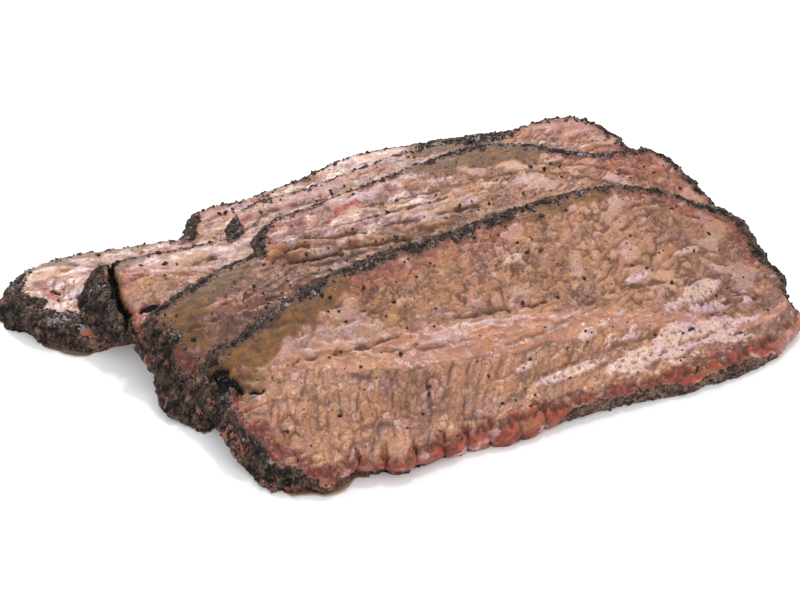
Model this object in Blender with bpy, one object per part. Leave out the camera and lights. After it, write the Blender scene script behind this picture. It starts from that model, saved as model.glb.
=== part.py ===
"""Sliced beef brisket: four long slices of a smoked whole brisket, fanned like shingles.

Metres, +Z up.  The slices' length runs along +X.  The fan climbs from the back slice, which lies
flat at +Y, to the front slice at -Y, which lies over all the others.  The origin is at the middle
of the stack's footprint, on the surface that it stands on.

Every slice is one closed solid: a cut face above, an underside that follows what it lies on, and
a bark-covered rim between them.  The thin end of the flat muscle is at the left, and the back
edge has a step where the point muscle begins.
"""

import bpy
import numpy as np
from mathutils import Vector
from mathutils.geometry import delaunay_2d_cdt

MM = 0.001

# Driving dimensions, in millimetres.
THICKNESS = 9.6  # of a slice, from its underside to its cut face
GAP = 0.5  # air between a slice and the one that it lies on
SAG_LENGTH = 32.0  # over which a slice comes down past the edge of the one below it
REACH = 3.0  # how far past that edge it stays level
RIM_FLARE = 8.0  # the rim of the thin left end slants out this far towards the table,
FLARE_REACH = 30.0  # fading out this far along the slice
RIM_BULGE = 0.9  # of the rim, past the straight line from underside to face
EDGE_DROP = 1.0  # the rounded upper edge starts this far below the cut face
EDGE_INSET = 2.2  # and meets the face this far in
SEAM_DEPTH = 0.9  # furrow of the fat seam between the two muscles
SEAM_WIDTH = 6.0
SEAM_RISE = 0.58  # where the seam runs, as a share of the slice's depth from its front edge
POINT_SWELL = 0.8  # how much the point muscle, above the seam, stands over the flat
RIM_STEP = 5.5  # between points along the rim
FACE_STEP = 7.0  # between points inside the face

# Knots of each cut face's outline, anticlockwise from the left end, before the stack is centred.
# From the right end on they are the back edge, whose step marks the left end of the point muscle.
OUTLINES = {
    "slice_front": (
        (-88, -46), (-87, -66), (-79, -83), (-58, -91), (0, -90), (60, -92), (100, -91),
        (122, -83), (131, -64), (131, -44), (124, -29), (108, -19), (84, -12), (55, -12),
        (10, -14), (-20, -14), (-45, -17), (-70, -23), (-85, -31),
    ),
    "slice_second": (
        (-101, -3), (-97, -13), (-98, -25), (-91, -37), (-78, -45), (-20, -50), (40, -53),
        (95, -48), (119, -34), (129, -12), (127, 4), (114, 14), (95, 17), (74, 32), (55, 41),
        (10, 37), (-20, 33), (-43, 29), (-48, 24), (-50, 17), (-65, 13), (-85, 7), (-96, 3),
    ),
    "slice_third": (
        (-110, 29), (-108, 14), (-97, 2), (-70, -12), (-20, -24), (40, -30), (85, -25),
        (109, -4), (118, 28), (114, 46), (98, 58), (76, 58), (50, 62), (20, 61),
        (-15, 56), (-45, 53), (-51, 48), (-53, 41), (-70, 42), (-90, 44), (-104, 44),
    ),
    "slice_back": (
        (-137, 47), (-127, 31), (-106, 20), (-75, 8), (-30, -2), (20, -8), (64, -6),
        (90, 6), (100, 30), (95, 55), (75, 72), (45, 79), (15, 82), (-10, 76), (-35, 73),
        (-54, 73), (-60, 69), (-61, 62), (-78, 62), (-98, 66), (-114, 68), (-130, 63),
    ),
}

MEAT_BROWN = (0.230, 0.105, 0.062, 1.0)  # smoked beef on the cut face, as linear colour


def smooth_step(share):
    """0 to 1 with level ends, for shares that may lie outside 0 to 1."""
    share = np.clip(share, 0.0, 1.0)
    return share * share * (3.0 - 2.0 * share)


def closed_curve(knots, step):
    """A smooth loop through the knots, as points about one step apart along it."""
    start = np.array(knots, float)
    end = np.roll(start, -1, axis=0)
    span = np.linalg.norm(end - start, axis=1, keepdims=True)
    heading = (end - start) / span
    before = np.roll(span, 1, axis=0)
    slope = (np.roll(heading, 1, axis=0) * span + heading * before) / (span + before)
    points = []
    for u in np.linspace(0.0, 1.0, 24, endpoint=False):
        ease = u * u * (3.0 - 2.0 * u)
        leave = u * (1.0 - u) ** 2 * span * slope
        arrive = u * u * (u - 1.0) * span * np.roll(slope, -1, axis=0)
        points.append(start + (end - start) * ease + leave + arrive)
    fine = np.stack(points, axis=1).reshape(-1, 2)
    along = np.linalg.norm(np.roll(fine, -1, axis=0) - fine, axis=1)
    distance = np.concatenate(([0.0], np.cumsum(along)))
    looped = np.vstack((fine, fine[:1]))
    marks = np.linspace(0.0, distance[-1], round(distance[-1] / step), endpoint=False)
    return np.stack([np.interp(marks, distance, looped[:, k]) for k in (0, 1)], axis=1)


def outward(loop):
    """The unit normal at each point of an anticlockwise loop, pointing out."""
    along = np.roll(loop, -1, axis=0) - np.roll(loop, 1, axis=0)
    along /= np.linalg.norm(along, axis=1, keepdims=True)
    return np.stack((along[:, 1], -along[:, 0]), axis=1)


def inner_distance(points, loop):
    """How far each point lies inside the loop, negative outside it."""
    nearest = np.full(len(points), np.inf)
    inside = np.zeros(len(points), bool)
    for a, b in zip(loop, np.roll(loop, -1, axis=0)):
        to_point = points - a
        share = np.clip(to_point @ (b - a) / ((b - a) @ (b - a)), 0.0, 1.0)
        gap = to_point - share[:, None] * (b - a)
        nearest = np.minimum(nearest, np.hypot(gap[:, 0], gap[:, 1]))
        if a[1] != b[1]:
            crossing = (b[0] - a[0]) * (points[:, 1] - a[1]) / (b[1] - a[1]) + a[0]
            inside ^= ((a[1] > points[:, 1]) != (b[1] > points[:, 1])) & (points[:, 0] < crossing)
    return np.where(inside, nearest, -nearest)


class Slice:
    """One slice: its loops, and the heights of its underside and cut face anywhere in plan."""

    def __init__(self, name, face_loop, below):
        self.name = name
        self.below = below
        self.face_loop = face_loop
        self.low = face_loop.min(axis=0)
        self.high = face_loop.max(axis=0)
        normal = outward(face_loop)
        near_end = smooth_step(1.0 - (face_loop[:, :1] - self.low[0]) / FLARE_REACH)
        flare = RIM_FLARE * near_end * np.clip(-normal[:, :1], 0.0, 1.0) ** 2
        self.base_loop = face_loop + flare * normal

    def thickness(self, points):
        """Thickness at each point: the seam's furrow, with the point muscle swelling above it."""
        rise = (points[:, 1] - self.low[1]) / (self.high[1] - self.low[1])
        above_seam = (rise - SEAM_RISE) * (self.high[1] - self.low[1]) / SEAM_WIDTH
        swell = POINT_SWELL * smooth_step(above_seam / 2.0)
        return THICKNESS + swell - SEAM_DEPTH * np.exp(-above_seam**2)

    def underside(self, points):
        """Height that the slices below carry this one at, falling away past their edges."""
        height = np.zeros(len(points))
        for other in self.below:
            past_edge = -inner_distance(points, other.base_loop) - REACH
            carried = smooth_step(1.0 - past_edge / SAG_LENGTH)
            height += carried * (other.thickness(points) + GAP)
        return height

    def face(self, points):
        """Height of the cut face."""
        return self.underside(points) + self.thickness(points)


def lattice_inside(loop, inset, step):
    """Points of one lattice that all slices share, so that their facets lie parallel, inside
    the loop and none nearer to it than the inset."""
    first = np.floor(loop.min(axis=0) / step) - 1
    last = np.ceil(loop.max(axis=0) / step) + 1
    column, row = np.meshgrid(np.arange(first[0], last[0]), np.arange(2 * first[1], 2 * last[1]))
    x = (column + 0.5 * (row % 2)) * step
    y = row * step * np.sqrt(0.75)
    grid = np.stack((x.ravel(), y.ravel()), axis=1)
    return grid[inner_distance(grid, loop) > inset]


def filled(loop, step):
    """Plan points and triangles that fill the loop; the loop's own points come first."""
    inner = lattice_inside(loop, step * 0.5, step)
    plan = [Vector(p) for p in np.concatenate((loop, inner))]
    border = [list(range(len(loop)))]
    out, _, triangles, origins, _, _ = delaunay_2d_cdt(plan, [], border, 1, 1e-6)
    place = {index: found[0] for index, found in enumerate(origins)}
    return np.array([plan[i] for i in range(len(plan))]), [
        [place[corner] for corner in triangle] for triangle in triangles
    ]


def ring(points, height):
    """Plan points raised to a height, each or all."""
    return np.column_stack((points, np.broadcast_to(height, len(points))))


def slice_mesh(piece):
    """The closed mesh of one slice, in metres."""
    face_loop, base_loop = piece.face_loop, piece.base_loop
    count = len(face_loop)
    middle = (face_loop + base_loop) / 2.0 + RIM_BULGE * outward(face_loop)
    inset_loop = face_loop - EDGE_INSET * outward(face_loop)
    low = piece.underside(base_loop)
    edge = piece.face(face_loop) - EDGE_DROP
    rings = [
        ring(base_loop, low),
        ring(middle, (piece.underside(middle) + piece.face(middle)) / 2.0),
        ring(face_loop, edge),
    ]
    faces = []
    for level in range(len(rings)):
        for k in range(count):
            nxt = (k + 1) % count
            low_a, low_b = level * count + k, level * count + nxt
            faces.append((low_a, low_b, low_b + count, low_a + count))
    face_plan, face_triangles = filled(inset_loop, FACE_STEP)
    start = len(rings) * count
    faces += [[start + corner for corner in triangle] for triangle in face_triangles]
    base_plan, base_triangles = filled(base_loop, FACE_STEP)
    extra = start + len(face_plan) - count
    for triangle in base_triangles:
        faces.append([c if c < count else c + extra for c in reversed(triangle)])
    base_inner = base_plan[count:]
    points = np.concatenate(
        (
            *rings,
            ring(face_plan, piece.face(face_plan)),
            ring(base_inner, piece.underside(base_inner)),
        )
    )
    mesh = bpy.data.meshes.new(piece.name)
    mesh.from_pydata((points * MM).tolist(), [], faces)
    mesh.update()
    return mesh


def meat_material():
    """Cut face of smoked beef: warm brown, moist."""
    material = bpy.data.materials.new("smoked_beef")
    material.use_nodes = True
    shader = material.node_tree.nodes["Principled BSDF"]
    shader.inputs["Base Color"].default_value = MEAT_BROWN
    shader.inputs["Roughness"].default_value = 0.45
    shader.inputs["Metallic"].default_value = 0.0
    return material


def footprint_middle(solids):
    """The middle of the box round all the solids, in plan, in metres."""
    corners = np.array([vertex.co[:2] for solid in solids for vertex in solid.data.vertices])
    return (corners.min(axis=0) + corners.max(axis=0)) / 2.0


def main():
    for thing in list(bpy.data.objects):
        bpy.data.objects.remove(thing)
    material = meat_material()
    solids, below = [], []
    for name, knots in reversed(OUTLINES.items()):
        piece = Slice(name, closed_curve(knots, RIM_STEP), tuple(below))
        solid = bpy.data.objects.new(name, slice_mesh(piece))
        solid.data.materials.append(material)
        solid.data.shade_smooth()
        bpy.context.scene.collection.objects.link(solid)
        solids.append(solid)
        below.append(piece)
    middle = footprint_middle(solids)
    for solid in solids:
        solid.location = (-middle[0], -middle[1], 0.0)


main()
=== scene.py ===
"""Looks of a sliced beef brisket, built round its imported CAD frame.

Four long slices of a smoked whole brisket lie fanned like shingles.  Each slice gets one fine
mesh that stands for its CAD solid: a cut face with the fibre bundles of the flat muscle, the
lumps and ridges of the point muscle, the fat seam between them, the fat cap and the smoke ring,
and a rim of granular bark.  Bark crumbs, pepper, shreds of meat and a film of juice are pieces of
their own.  Lengths are in millimetres up to the point where a mesh is made.
"""

import itertools
import logging
import math
from collections.abc import Sequence
from dataclasses import dataclass
from enum import Enum

import bpy
import numpy as np
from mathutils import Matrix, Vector
from mathutils.bvhtree import BVHTree
from mathutils.geometry import delaunay_2d_cdt


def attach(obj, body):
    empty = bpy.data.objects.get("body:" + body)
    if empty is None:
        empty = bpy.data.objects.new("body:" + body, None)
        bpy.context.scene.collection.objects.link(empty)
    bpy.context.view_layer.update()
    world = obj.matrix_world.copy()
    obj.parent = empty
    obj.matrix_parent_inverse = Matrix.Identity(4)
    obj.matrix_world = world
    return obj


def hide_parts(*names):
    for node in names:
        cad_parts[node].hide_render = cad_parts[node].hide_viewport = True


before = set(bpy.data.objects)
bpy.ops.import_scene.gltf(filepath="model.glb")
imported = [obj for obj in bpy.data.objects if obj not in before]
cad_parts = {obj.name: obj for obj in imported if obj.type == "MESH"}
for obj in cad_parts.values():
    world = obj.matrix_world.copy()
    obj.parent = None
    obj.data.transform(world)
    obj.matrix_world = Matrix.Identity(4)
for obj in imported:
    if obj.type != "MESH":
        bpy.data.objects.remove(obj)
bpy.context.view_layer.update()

log = logging.getLogger("brisket")

MM = 0.001
BODY = "root"
SLICES_FROM_TOP = ("slice_front", "slice_second", "slice_third", "slice_back")

# Short names for types.
Array = np.ndarray
Knots = tuple[tuple[float, float], ...]
Material = bpy.types.Material
Piece = bpy.types.Object
Socket = bpy.types.NodeSocket
Tree = bpy.types.NodeTree
Slices = Sequence["BrisketSlice"]

HASH_PRIMES = (2654435761, 2246822519, 3266489917)  # large odd numbers that mix bits well
HASH_LARGEST = 0xFFFFFFFF  # of 32 bits
AXIS_SEED = 31  # what is added to a seed from one axis to the next,
OCTAVE_SEED = 101  # from one size of noise to the next
NUMBER_SEED = 977  # and for the number that a cell carries
NOISE_GAIN = 1.6  # brings gradient noise to about -1 to 1
CELL_SCATTER = 0.8  # how widely the middles of cells lie about, as a share of a cell
ROW = math.sqrt(0.75)  # between the rows of a triangular lattice, as a share of its step


class Mask(Enum):
    """The tissues that a slice's mesh marks on its points, each as a share from 0 to 1, with painted shade
    and painted highlights among them.
    """

    POINT = "point_muscle"
    SEAM = "fat_seam"
    CAP = "fat_cap"
    RING = "smoke_ring"
    RED = "red_edge"
    DULL = "purple_meat"
    RENDERED = "rendered_fat"
    # Pale wet fat, and salt and ash on the bark; also painted sheen: highlights painted pale on wet tops,
    # crests, folds and flat patches, and glints on the bark.
    PALE_AND_SHEEN = "wet_white_fat"
    # Painted shade in furrows, cracks and low places, with the stain in from the bark and the crumbs beside a
    # slice on top.
    FURROW = "furrow"
    # Painted shade: near black in deep cracks, holes and the gaps between the front bundle ends.
    CREVICE = "crevice"
    # Each bundle's own tone, with painted highlights under the sheen and painted shade beside the slice on
    # top; on the bark, painted light on raised grains and painted shade in pits.
    TINT = "bundle_tint"
    WET = "wet_film"
    BARK = "bark"  # not drawn by a material: it says which faces the bark's finish covers


# ---- Noise and curves


def ramp(value: Array, start: float, end: float) -> Array:
    """Smooth step from 0 at the start to 1 at the end, which may lie below the start."""
    share = np.clip((value - start) / (end - start), 0.0, 1.0)
    return share * share * (3.0 - 2.0 * share)


def hashed(seed: int, *cells: Array) -> Array:
    """Repeatable random numbers for the cells of a lattice.

    Args:
        seed: which set of numbers.
        cells: whole-numbered coordinates of the cells, one array for each axis.

    Returns:
        One number from 0 to 1 for each cell.
    """
    mixed = np.full(cells[0].shape, (seed * HASH_PRIMES[0]) & HASH_LARGEST, np.uint32)
    for cell in cells:
        mixed = (mixed ^ cell.astype(np.int64).astype(np.uint32)) * np.uint32(HASH_PRIMES[1])
        mixed ^= mixed >> np.uint32(15)
        mixed = mixed * np.uint32(HASH_PRIMES[2])
        mixed ^= mixed >> np.uint32(13)
    return mixed.astype(np.float64) / HASH_LARGEST


def lumps(points: Array, size: float, seed: int) -> Array:
    """Gradient noise in 2 or 3 dimensions.

    Args:
        points: one row for each point.
        size: about how far apart the lumps are.
        seed: which noise.

    Returns:
        One number for each point, from about -1 to 1.
    """
    scaled = points / size
    corner = np.floor(scaled)
    inside = scaled - corner
    fade = inside**3 * (inside * (inside * 6.0 - 15.0) + 10.0)
    axes = range(points.shape[1])
    total = np.zeros(len(points))
    for offset in itertools.product((0, 1), repeat=len(axes)):
        cell = [corner[:, k] + offset[k] for k in axes]
        weight = np.ones(len(points))
        slope = np.zeros(len(points))
        for k in axes:
            weight *= fade[:, k] if offset[k] else 1.0 - fade[:, k]
            slope += (2.0 * hashed(seed + AXIS_SEED * k, *cell) - 1.0) * (inside[:, k] - offset[k])
        total += weight * slope
    return NOISE_GAIN * total


def layered(points: Array, size: float, octaves: int, seed: int) -> Array:
    """Gradient noise of several sizes, each half as wide and high as the one before.

    Args:
        points: one row for each point.
        size: about how far apart the largest lumps are.
        octaves: how many sizes.
        seed: which noise.

    Returns:
        One number for each point, from about -2 to 2.
    """
    total = np.zeros(len(points))
    for octave in range(octaves):
        total += lumps(points, size / 2**octave, seed + OCTAVE_SEED * octave) / 2**octave
    return total


def cells_of(points: Array, seed: int) -> tuple[Array, Array, Array]:
    """Scattered cells of size 1 in 2 or 3 dimensions, as close-packed lumps make them.

    Args:
        points: one row for each point, in units of a cell.
        seed: which cells.

    Returns:
        For each point, the distance to its cell's middle, to its border and a number of the cell.
    """
    corner = np.floor(points)
    first = np.full(len(points), np.inf)
    second = np.full(len(points), np.inf)
    identity = np.zeros(len(points))
    axes = range(points.shape[1])
    for offset in itertools.product((-1, 0, 1), repeat=len(axes)):
        cell = [corner[:, k] + offset[k] for k in axes]
        gap = np.zeros(len(points))
        for k in axes:
            shaken = CELL_SCATTER * (hashed(seed + AXIS_SEED * k, *cell) - 0.5)
            gap += (points[:, k] - (cell[k] + 0.5 + shaken)) ** 2
        nearer = gap < first
        second = np.where(nearer, first, np.minimum(second, gap))
        identity = np.where(nearer, hashed(seed + NUMBER_SEED, *cell), identity)
        first = np.minimum(first, gap)
    first, second = np.sqrt(first), np.sqrt(second)
    return first, (second - first) / 2.0, identity


def dome(border: Array, rounding: float) -> Array:
    """Rises from 0 at a border to 1 inside, over about the rounding."""
    return 1.0 - np.exp(-np.maximum(border, 0.0) / rounding)


def bell(gap: Array, width: float) -> Array:
    """Falls from 1 where the gap is 0 to almost 0 at twice the width."""
    return np.exp(-((gap / width) ** 2))


def level(value: float) -> Knots:
    """Knots of a value that is the same from end to end."""
    return ((0.0, value), (1.0, value))


def packed(points: Array, size: Sequence[float], seed: int, shake: float = 0.3) -> tuple[Array, Array]:
    """Close-packed lumps with uneven outlines.

    Args:
        points: one row for each point, in mm.
        size: width of the lumps along each axis, in mm.
        seed: which lumps.
        shake: how far their outlines wander, as a share of their size.

    Returns:
        For each point, the distance to its lump's border in mm and a number of the lump.
    """
    size = np.array(size, float)
    shift = [lumps(points, 1.3 * size.min(), seed + k) for k in range(len(size))]
    _, border, identity = cells_of(points / size + shake * np.stack(shift, axis=1), seed + 7)
    return border * size.min(), identity


def along(knots: Knots, share: Array) -> Array:
    """Smooth value between knots of (share, value).

    Args:
        knots: pairs of a share and the value there.
        share: where the value is wanted.

    Returns:
        The value at each share, level past the first and the last knot.
    """
    places, values = np.array(knots, float).T
    index = np.clip(np.searchsorted(places, share) - 1, 0, len(places) - 2)
    step = np.clip((share - places[index]) / (places[index + 1] - places[index]), 0.0, 1.0)
    return values[index] + (values[index + 1] - values[index]) * step * step * (3.0 - 2.0 * step)


def line_distance(points: Array, line: Array) -> Array:
    """How far each point lies from an open line of straight runs.

    Args:
        points: points in plan.
        line: the line's corners, one row each.

    Returns:
        The distance of each point.
    """
    nearest = np.full(len(points), np.inf)
    for start, end in zip(line[:-1], line[1:]):
        to_point = points - start
        run = end - start
        share = np.clip(to_point @ run / (run @ run), 0.0, 1.0)
        gap = to_point - share[:, None] * run
        nearest = np.minimum(nearest, np.hypot(gap[:, 0], gap[:, 1]))
    return nearest


def evened(values: Array, times: int) -> Array:
    """Values round a loop, each mixed with its neighbours a number of times.

    Args:
        values: one row for each place on the loop.
        times: how many times.

    Returns:
        The evened values.
    """
    for _ in range(times):
        values = 0.5 * values + 0.25 * (np.roll(values, 1, axis=0) + np.roll(values, -1, axis=0))
    return values


class Outline:
    """A closed outline in plan, anticlockwise, with its points evenly spaced."""

    def __init__(self, points: Array) -> None:
        """Keeps the points, turned anticlockwise.

        Args:
            points: the outline's corners in order, in plan.
        """
        nxt = np.roll(points, -1, axis=0)
        area = (points[:, 0] * nxt[:, 1] - points[:, 1] * nxt[:, 0]).sum()
        self.points = points if area > 0 else points[::-1]

    def resampled(self, step: float) -> "Outline":
        """The same outline with points about one step apart.

        Args:
            step: distance between neighbouring points.

        Returns:
            The new outline.
        """
        looped = np.vstack((self.points, self.points[:1]))
        run = np.hypot(*np.diff(looped, axis=0).T)
        distance = np.concatenate(([0.0], np.cumsum(run)))
        marks = np.linspace(0.0, distance[-1], round(distance[-1] / step), endpoint=False)
        return Outline(np.stack([np.interp(marks, distance, looped[:, k]) for k in (0, 1)], axis=1))

    def smoothed(self, reach: float) -> "Outline":
        """The outline with its corners rounded over the reach."""
        step = np.hypot(*(self.points[1] - self.points[0]))
        return Outline(evened(self.points, max(1, round((reach / step) ** 2))))

    def outward(self) -> Array:
        """The unit normal at each point, pointing out.

        Returns:
            One row for each point of the outline.
        """
        run = np.roll(self.points, -1, axis=0) - np.roll(self.points, 1, axis=0)
        run /= np.maximum(np.linalg.norm(run, axis=1, keepdims=True), 1e-9)
        return np.stack((run[:, 1], -run[:, 0]), axis=1)

    def inner_distance(self, points: Array) -> Array:
        """How far each point lies inside the outline, negative outside it.

        Args:
            points: points in plan.

        Returns:
            The distance of each point.
        """
        nearest = np.full(len(points), np.inf)
        inside = np.zeros(len(points), bool)
        x, y = points[:, 0], points[:, 1]
        for a, b in zip(self.points, np.roll(self.points, -1, axis=0)):
            run_x, run_y = b - a
            to_x, to_y = x - a[0], y - a[1]
            share = np.clip((to_x * run_x + to_y * run_y) / (run_x**2 + run_y**2), 0.0, 1.0)
            nearest = np.minimum(nearest, (to_x - share * run_x) ** 2 + (to_y - share * run_y) ** 2)
            if a[1] != b[1]:
                inside ^= ((a[1] > y) != (b[1] > y)) & (x < run_x * to_y / run_y + a[0])
        return np.where(inside, np.sqrt(nearest), -np.sqrt(nearest))

    def sides(self, x: Array) -> tuple[Array, Array]:
        """The y of the front and of the back side at each x, level past the two ends.

        Args:
            x: places along the outline's length.

        Returns:
            The front side's y and the back side's y.
        """
        left = self.points[:, 0].argmin()
        right = self.points[:, 0].argmax()
        turned = np.roll(self.points, -left, axis=0)
        turn = (right - left) % len(self.points)
        front = turned[: turn + 1]
        back = np.vstack((turned[turn:], turned[:1]))[::-1]
        found = []
        for side in (front, back):
            reach = np.maximum.accumulate(side[:, 0])
            found.append(np.interp(x, reach, side[:, 1]))
        return found[0], found[1]


def placed_piece(name: str, points: Array, faces: list[list[int]], *materials: Material) -> Piece:
    """Makes one object that rides on the body.

    Args:
        name: name of the object.
        points: its points in mm.
        faces: its faces.
        materials: its finishes, of which all faces get the first.

    Returns:
        The object.
    """
    mesh = bpy.data.meshes.new(name)
    mesh.from_pydata((points * MM).tolist(), [], faces)
    for material in materials:
        mesh.materials.append(material)
    mesh.update()
    piece = bpy.data.objects.new(name, mesh)
    bpy.context.scene.collection.objects.link(piece)
    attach(piece, BODY)
    return piece


# ---- Measuring the frame


@dataclass
class SolidProbe:
    """Measures one CAD solid: the outlines of its two sides in plan, and their heights."""

    node: str
    grid: float = 2.5  # mm, between the places where the heights are measured
    margin: float = 12.0  # mm, measured past the solid's box
    far: float = 200.0  # mm, above or below the table, where the measuring rays start
    rim_flare: float = 8.0  # mm, that the thin left end's rim slants out towards the table
    flare_reach: float = 30.0  # mm along the slice, over which that fades out
    rounding: float = 2.0  # mm, over which the corners of the solid's facets are rounded
    foot_step: float = 1.0  # mm, between points of the underside's outline

    def __post_init__(self) -> None:
        """Reads the node's mesh from the frame and measures it."""
        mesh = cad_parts[self.node].data
        mesh.calc_loop_triangles()
        corners = np.array([vertex.co for vertex in mesh.vertices]) / MM
        triangles = np.array([triangle.vertices for triangle in mesh.loop_triangles])
        _, first, place = np.unique(corners.round(3), axis=0, return_index=True, return_inverse=True)
        self.corners = corners[first]
        self.triangles = place.reshape(-1)[triangles]
        self.tree = BVHTree.FromPolygons(self.corners.tolist(), self.triangles.tolist())
        self.foot = self._foot()
        self.face = Outline(self.foot.points - self.slant(self.foot))
        self.low = self.corners[:, :2].min(axis=0) - self.margin
        self.high = self.corners[:, :2].max(axis=0) + self.margin
        self.tops = self._heights(self.face, 2.5, 1.0)
        self.bottoms = self._heights(self.foot, 1.0, -1.0)

    def _foot(self) -> Outline:
        """The outline of the underside: the border of the triangles that face down.

        Returns:
            The outline, with the corners of its facets rounded.
        """
        a, b, c = (self.corners[self.triangles[:, k]] for k in range(3))
        normal = np.cross(b - a, c - a)
        down = normal[:, 2] < -0.6 * np.linalg.norm(normal, axis=1)
        runs = {(int(p), int(q)) for t in self.triangles[down] for p, q in zip(t, np.roll(t, -1))}
        follow = {p: q for p, q in runs if (q, p) not in runs}
        start = min(follow)
        order = [start]
        while follow[order[-1]] != start:
            order.append(follow[order[-1]])
        fine = Outline(self.corners[order][:, :2]).resampled(0.5 * self.foot_step)
        return fine.smoothed(self.rounding).resampled(self.foot_step)

    def slant(self, foot: Outline) -> Array:
        """How far each point of the foot stands out past the cut face, where the thin end's rim slants.

        Args:
            foot: outline of the underside.

        Returns:
            One row for each point of the foot, in plan.
        """
        normal = foot.outward()
        flare = self.rim_flare * np.clip(-normal[:, 0], 0.0, 1.0) ** 2
        past = np.maximum(foot.points[:, 0] + flare - foot.points[:, 0].min() - self.rim_flare, 0.0)
        flare *= ramp(past, self.flare_reach, 0.0)
        return evened(flare[:, None] * normal, 60)

    def _heights(self, outline: Outline, inset: float, side: float) -> Array:
        """Heights of the top or the underside on a grid.

        Args:
            outline: outline of that side.
            inset: how far inside the outline the heights are measured.
            side: 1 for the top, -1 for the underside.

        Returns:
            A smoothed grid of heights, which runs on past the outline.
        """
        x = np.arange(self.low[0], self.high[0], self.grid)
        y = np.arange(self.low[1], self.high[1], self.grid)
        plan = np.stack(np.meshgrid(x, y), axis=-1).reshape(-1, 2)
        known = outline.inner_distance(plan) > inset
        height = np.zeros(len(plan))
        for index in np.flatnonzero(known):
            origin = Vector((*plan[index], self.far * side))
            found = self.tree.ray_cast(origin, Vector((0.0, 0.0, -side)))[0]
            if found is None:
                known[index] = False
            else:
                height[index] = found.z
        height, known = height.reshape(len(y), len(x)), known.reshape(len(y), len(x)).astype(float)
        while known.min() == 0:
            total, count = self._around(height * known), self._around(known)
            height = np.where(known > 0, height, total / np.maximum(count, 1e-9))
            known = np.maximum(known, np.sign(count))
        for _ in range(3):
            height = self._around(height) / 9.0
        return height

    @staticmethod
    def _around(grid: Array) -> Array:
        """The sum over each cell of a grid and its eight neighbours.

        Args:
            grid: the values, in rows and columns.

        Returns:
            A grid of the sums.
        """
        padded = np.pad(grid, 1, mode="edge")
        rows = padded[:-2] + padded[1:-1] + padded[2:]
        return rows[:, :-2] + rows[:, 1:-1] + rows[:, 2:]

    def _looked_up(self, grid: Array, points: Array) -> Array:
        """The grid's value at each point, linear between the grid's places.

        Args:
            grid: rows of heights.
            points: points in plan.

        Returns:
            The height at each point.
        """
        place = (points - self.low) / self.grid
        column = np.clip(place[:, 0], 0.0, grid.shape[1] - 1.001)
        row = np.clip(place[:, 1], 0.0, grid.shape[0] - 1.001)
        j, i = column.astype(int), row.astype(int)
        u, v = column - j, row - i
        near = grid[i, j] * (1.0 - u) + grid[i, j + 1] * u
        far = grid[i + 1, j] * (1.0 - u) + grid[i + 1, j + 1] * u
        return near * (1.0 - v) + far * v

    def top(self, points: Array) -> Array:
        """Height of the cut face at each point in plan."""
        return self._looked_up(self.tops, points)

    def bottom(self, points: Array) -> Array:
        """Height of the underside at each point in plan."""
        return self._looked_up(self.bottoms, points)


# ---- Materials


def linear(code: str) -> tuple[float, float, float, float]:
    """Linear colour of an sRGB hex code such as '#a0b0c0'.

    Args:
        code: the hex code.

    Returns:
        Red, green, blue and an alpha of 1.
    """
    parts = [int(code[k : k + 2], 16) / 255.0 for k in (1, 3, 5)]
    turned = [p / 12.92 if p <= 0.04045 else ((p + 0.055) / 1.055) ** 2.4 for p in parts]
    return (*turned, 1.0)


def add(tree: Tree, kind: str, inputs: dict | None = None, **settings) -> bpy.types.Node:
    """Adds one node with its settings and links.

    Args:
        tree: the material's node tree.
        kind: type of the node, without its 'ShaderNode'.
        inputs: a value, or the output that feeds it, for each input's name or number.
        settings: properties of the node.

    Returns:
        The node.
    """
    node = tree.nodes.new(f"ShaderNode{kind}")
    for name, value in settings.items():
        setattr(node, name, value)
    for name, value in (inputs or {}).items():
        if isinstance(value, Socket):
            tree.links.new(value, node.inputs[name])
        else:
            node.inputs[name].default_value = value
    return node


def new_material(name: str) -> tuple[Material, Tree, Socket]:
    """An empty node material: the material, its tree and where on the object a point lies.

    Args:
        name: name of the material.

    Returns:
        The material, its tree and the output that says where on the object a point lies.
    """
    material = bpy.data.materials.new(name)
    material.use_nodes = True
    tree = material.node_tree
    tree.nodes.clear()
    return material, tree, add(tree, "TexCoord").outputs["Object"]


def finished(tree: Tree, inputs: dict) -> None:
    """Ends a tree with one Principled shader that has these inputs."""
    shader = add(tree, "BsdfPrincipled", inputs)
    add(tree, "OutputMaterial", {"Surface": shader.outputs[0]})


def per_mm(size: float) -> float:
    """Scale of a noise whose lumps are this many millimetres wide."""
    return 1.0 / (size * MM)


def mottled(tree: Tree, place: Socket, size: float, deep: str, pale: str) -> Socket:
    """Colour that wanders between two tones.

    Args:
        tree: the material's node tree.
        place: where on the object the surface is.
        size: width of the patches in mm.
        deep: the darker tone.
        pale: the paler tone.

    Returns:
        The output that carries the colour.
    """
    patches = add(tree, "TexNoise", {"Vector": place, "Scale": per_mm(size), "Detail": 4.0, "Roughness": 0.6})
    share = add(tree, "MapRange", {0: patches.outputs["Fac"], 1: 0.36, 2: 0.64})
    tones = {0: share.outputs[0], 6: linear(deep), 7: linear(pale)}
    return add(tree, "Mix", tones, data_type="RGBA").outputs[2]


@dataclass(frozen=True)
class Tissue:
    """One tissue of the cut face, laid over those before it where its mask says."""

    mask: Mask
    pale: str
    deep: str
    grain: float  # mm, size of the patches of pale and deep
    cover: float = 1.0  # how much of what is below it hides


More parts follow.
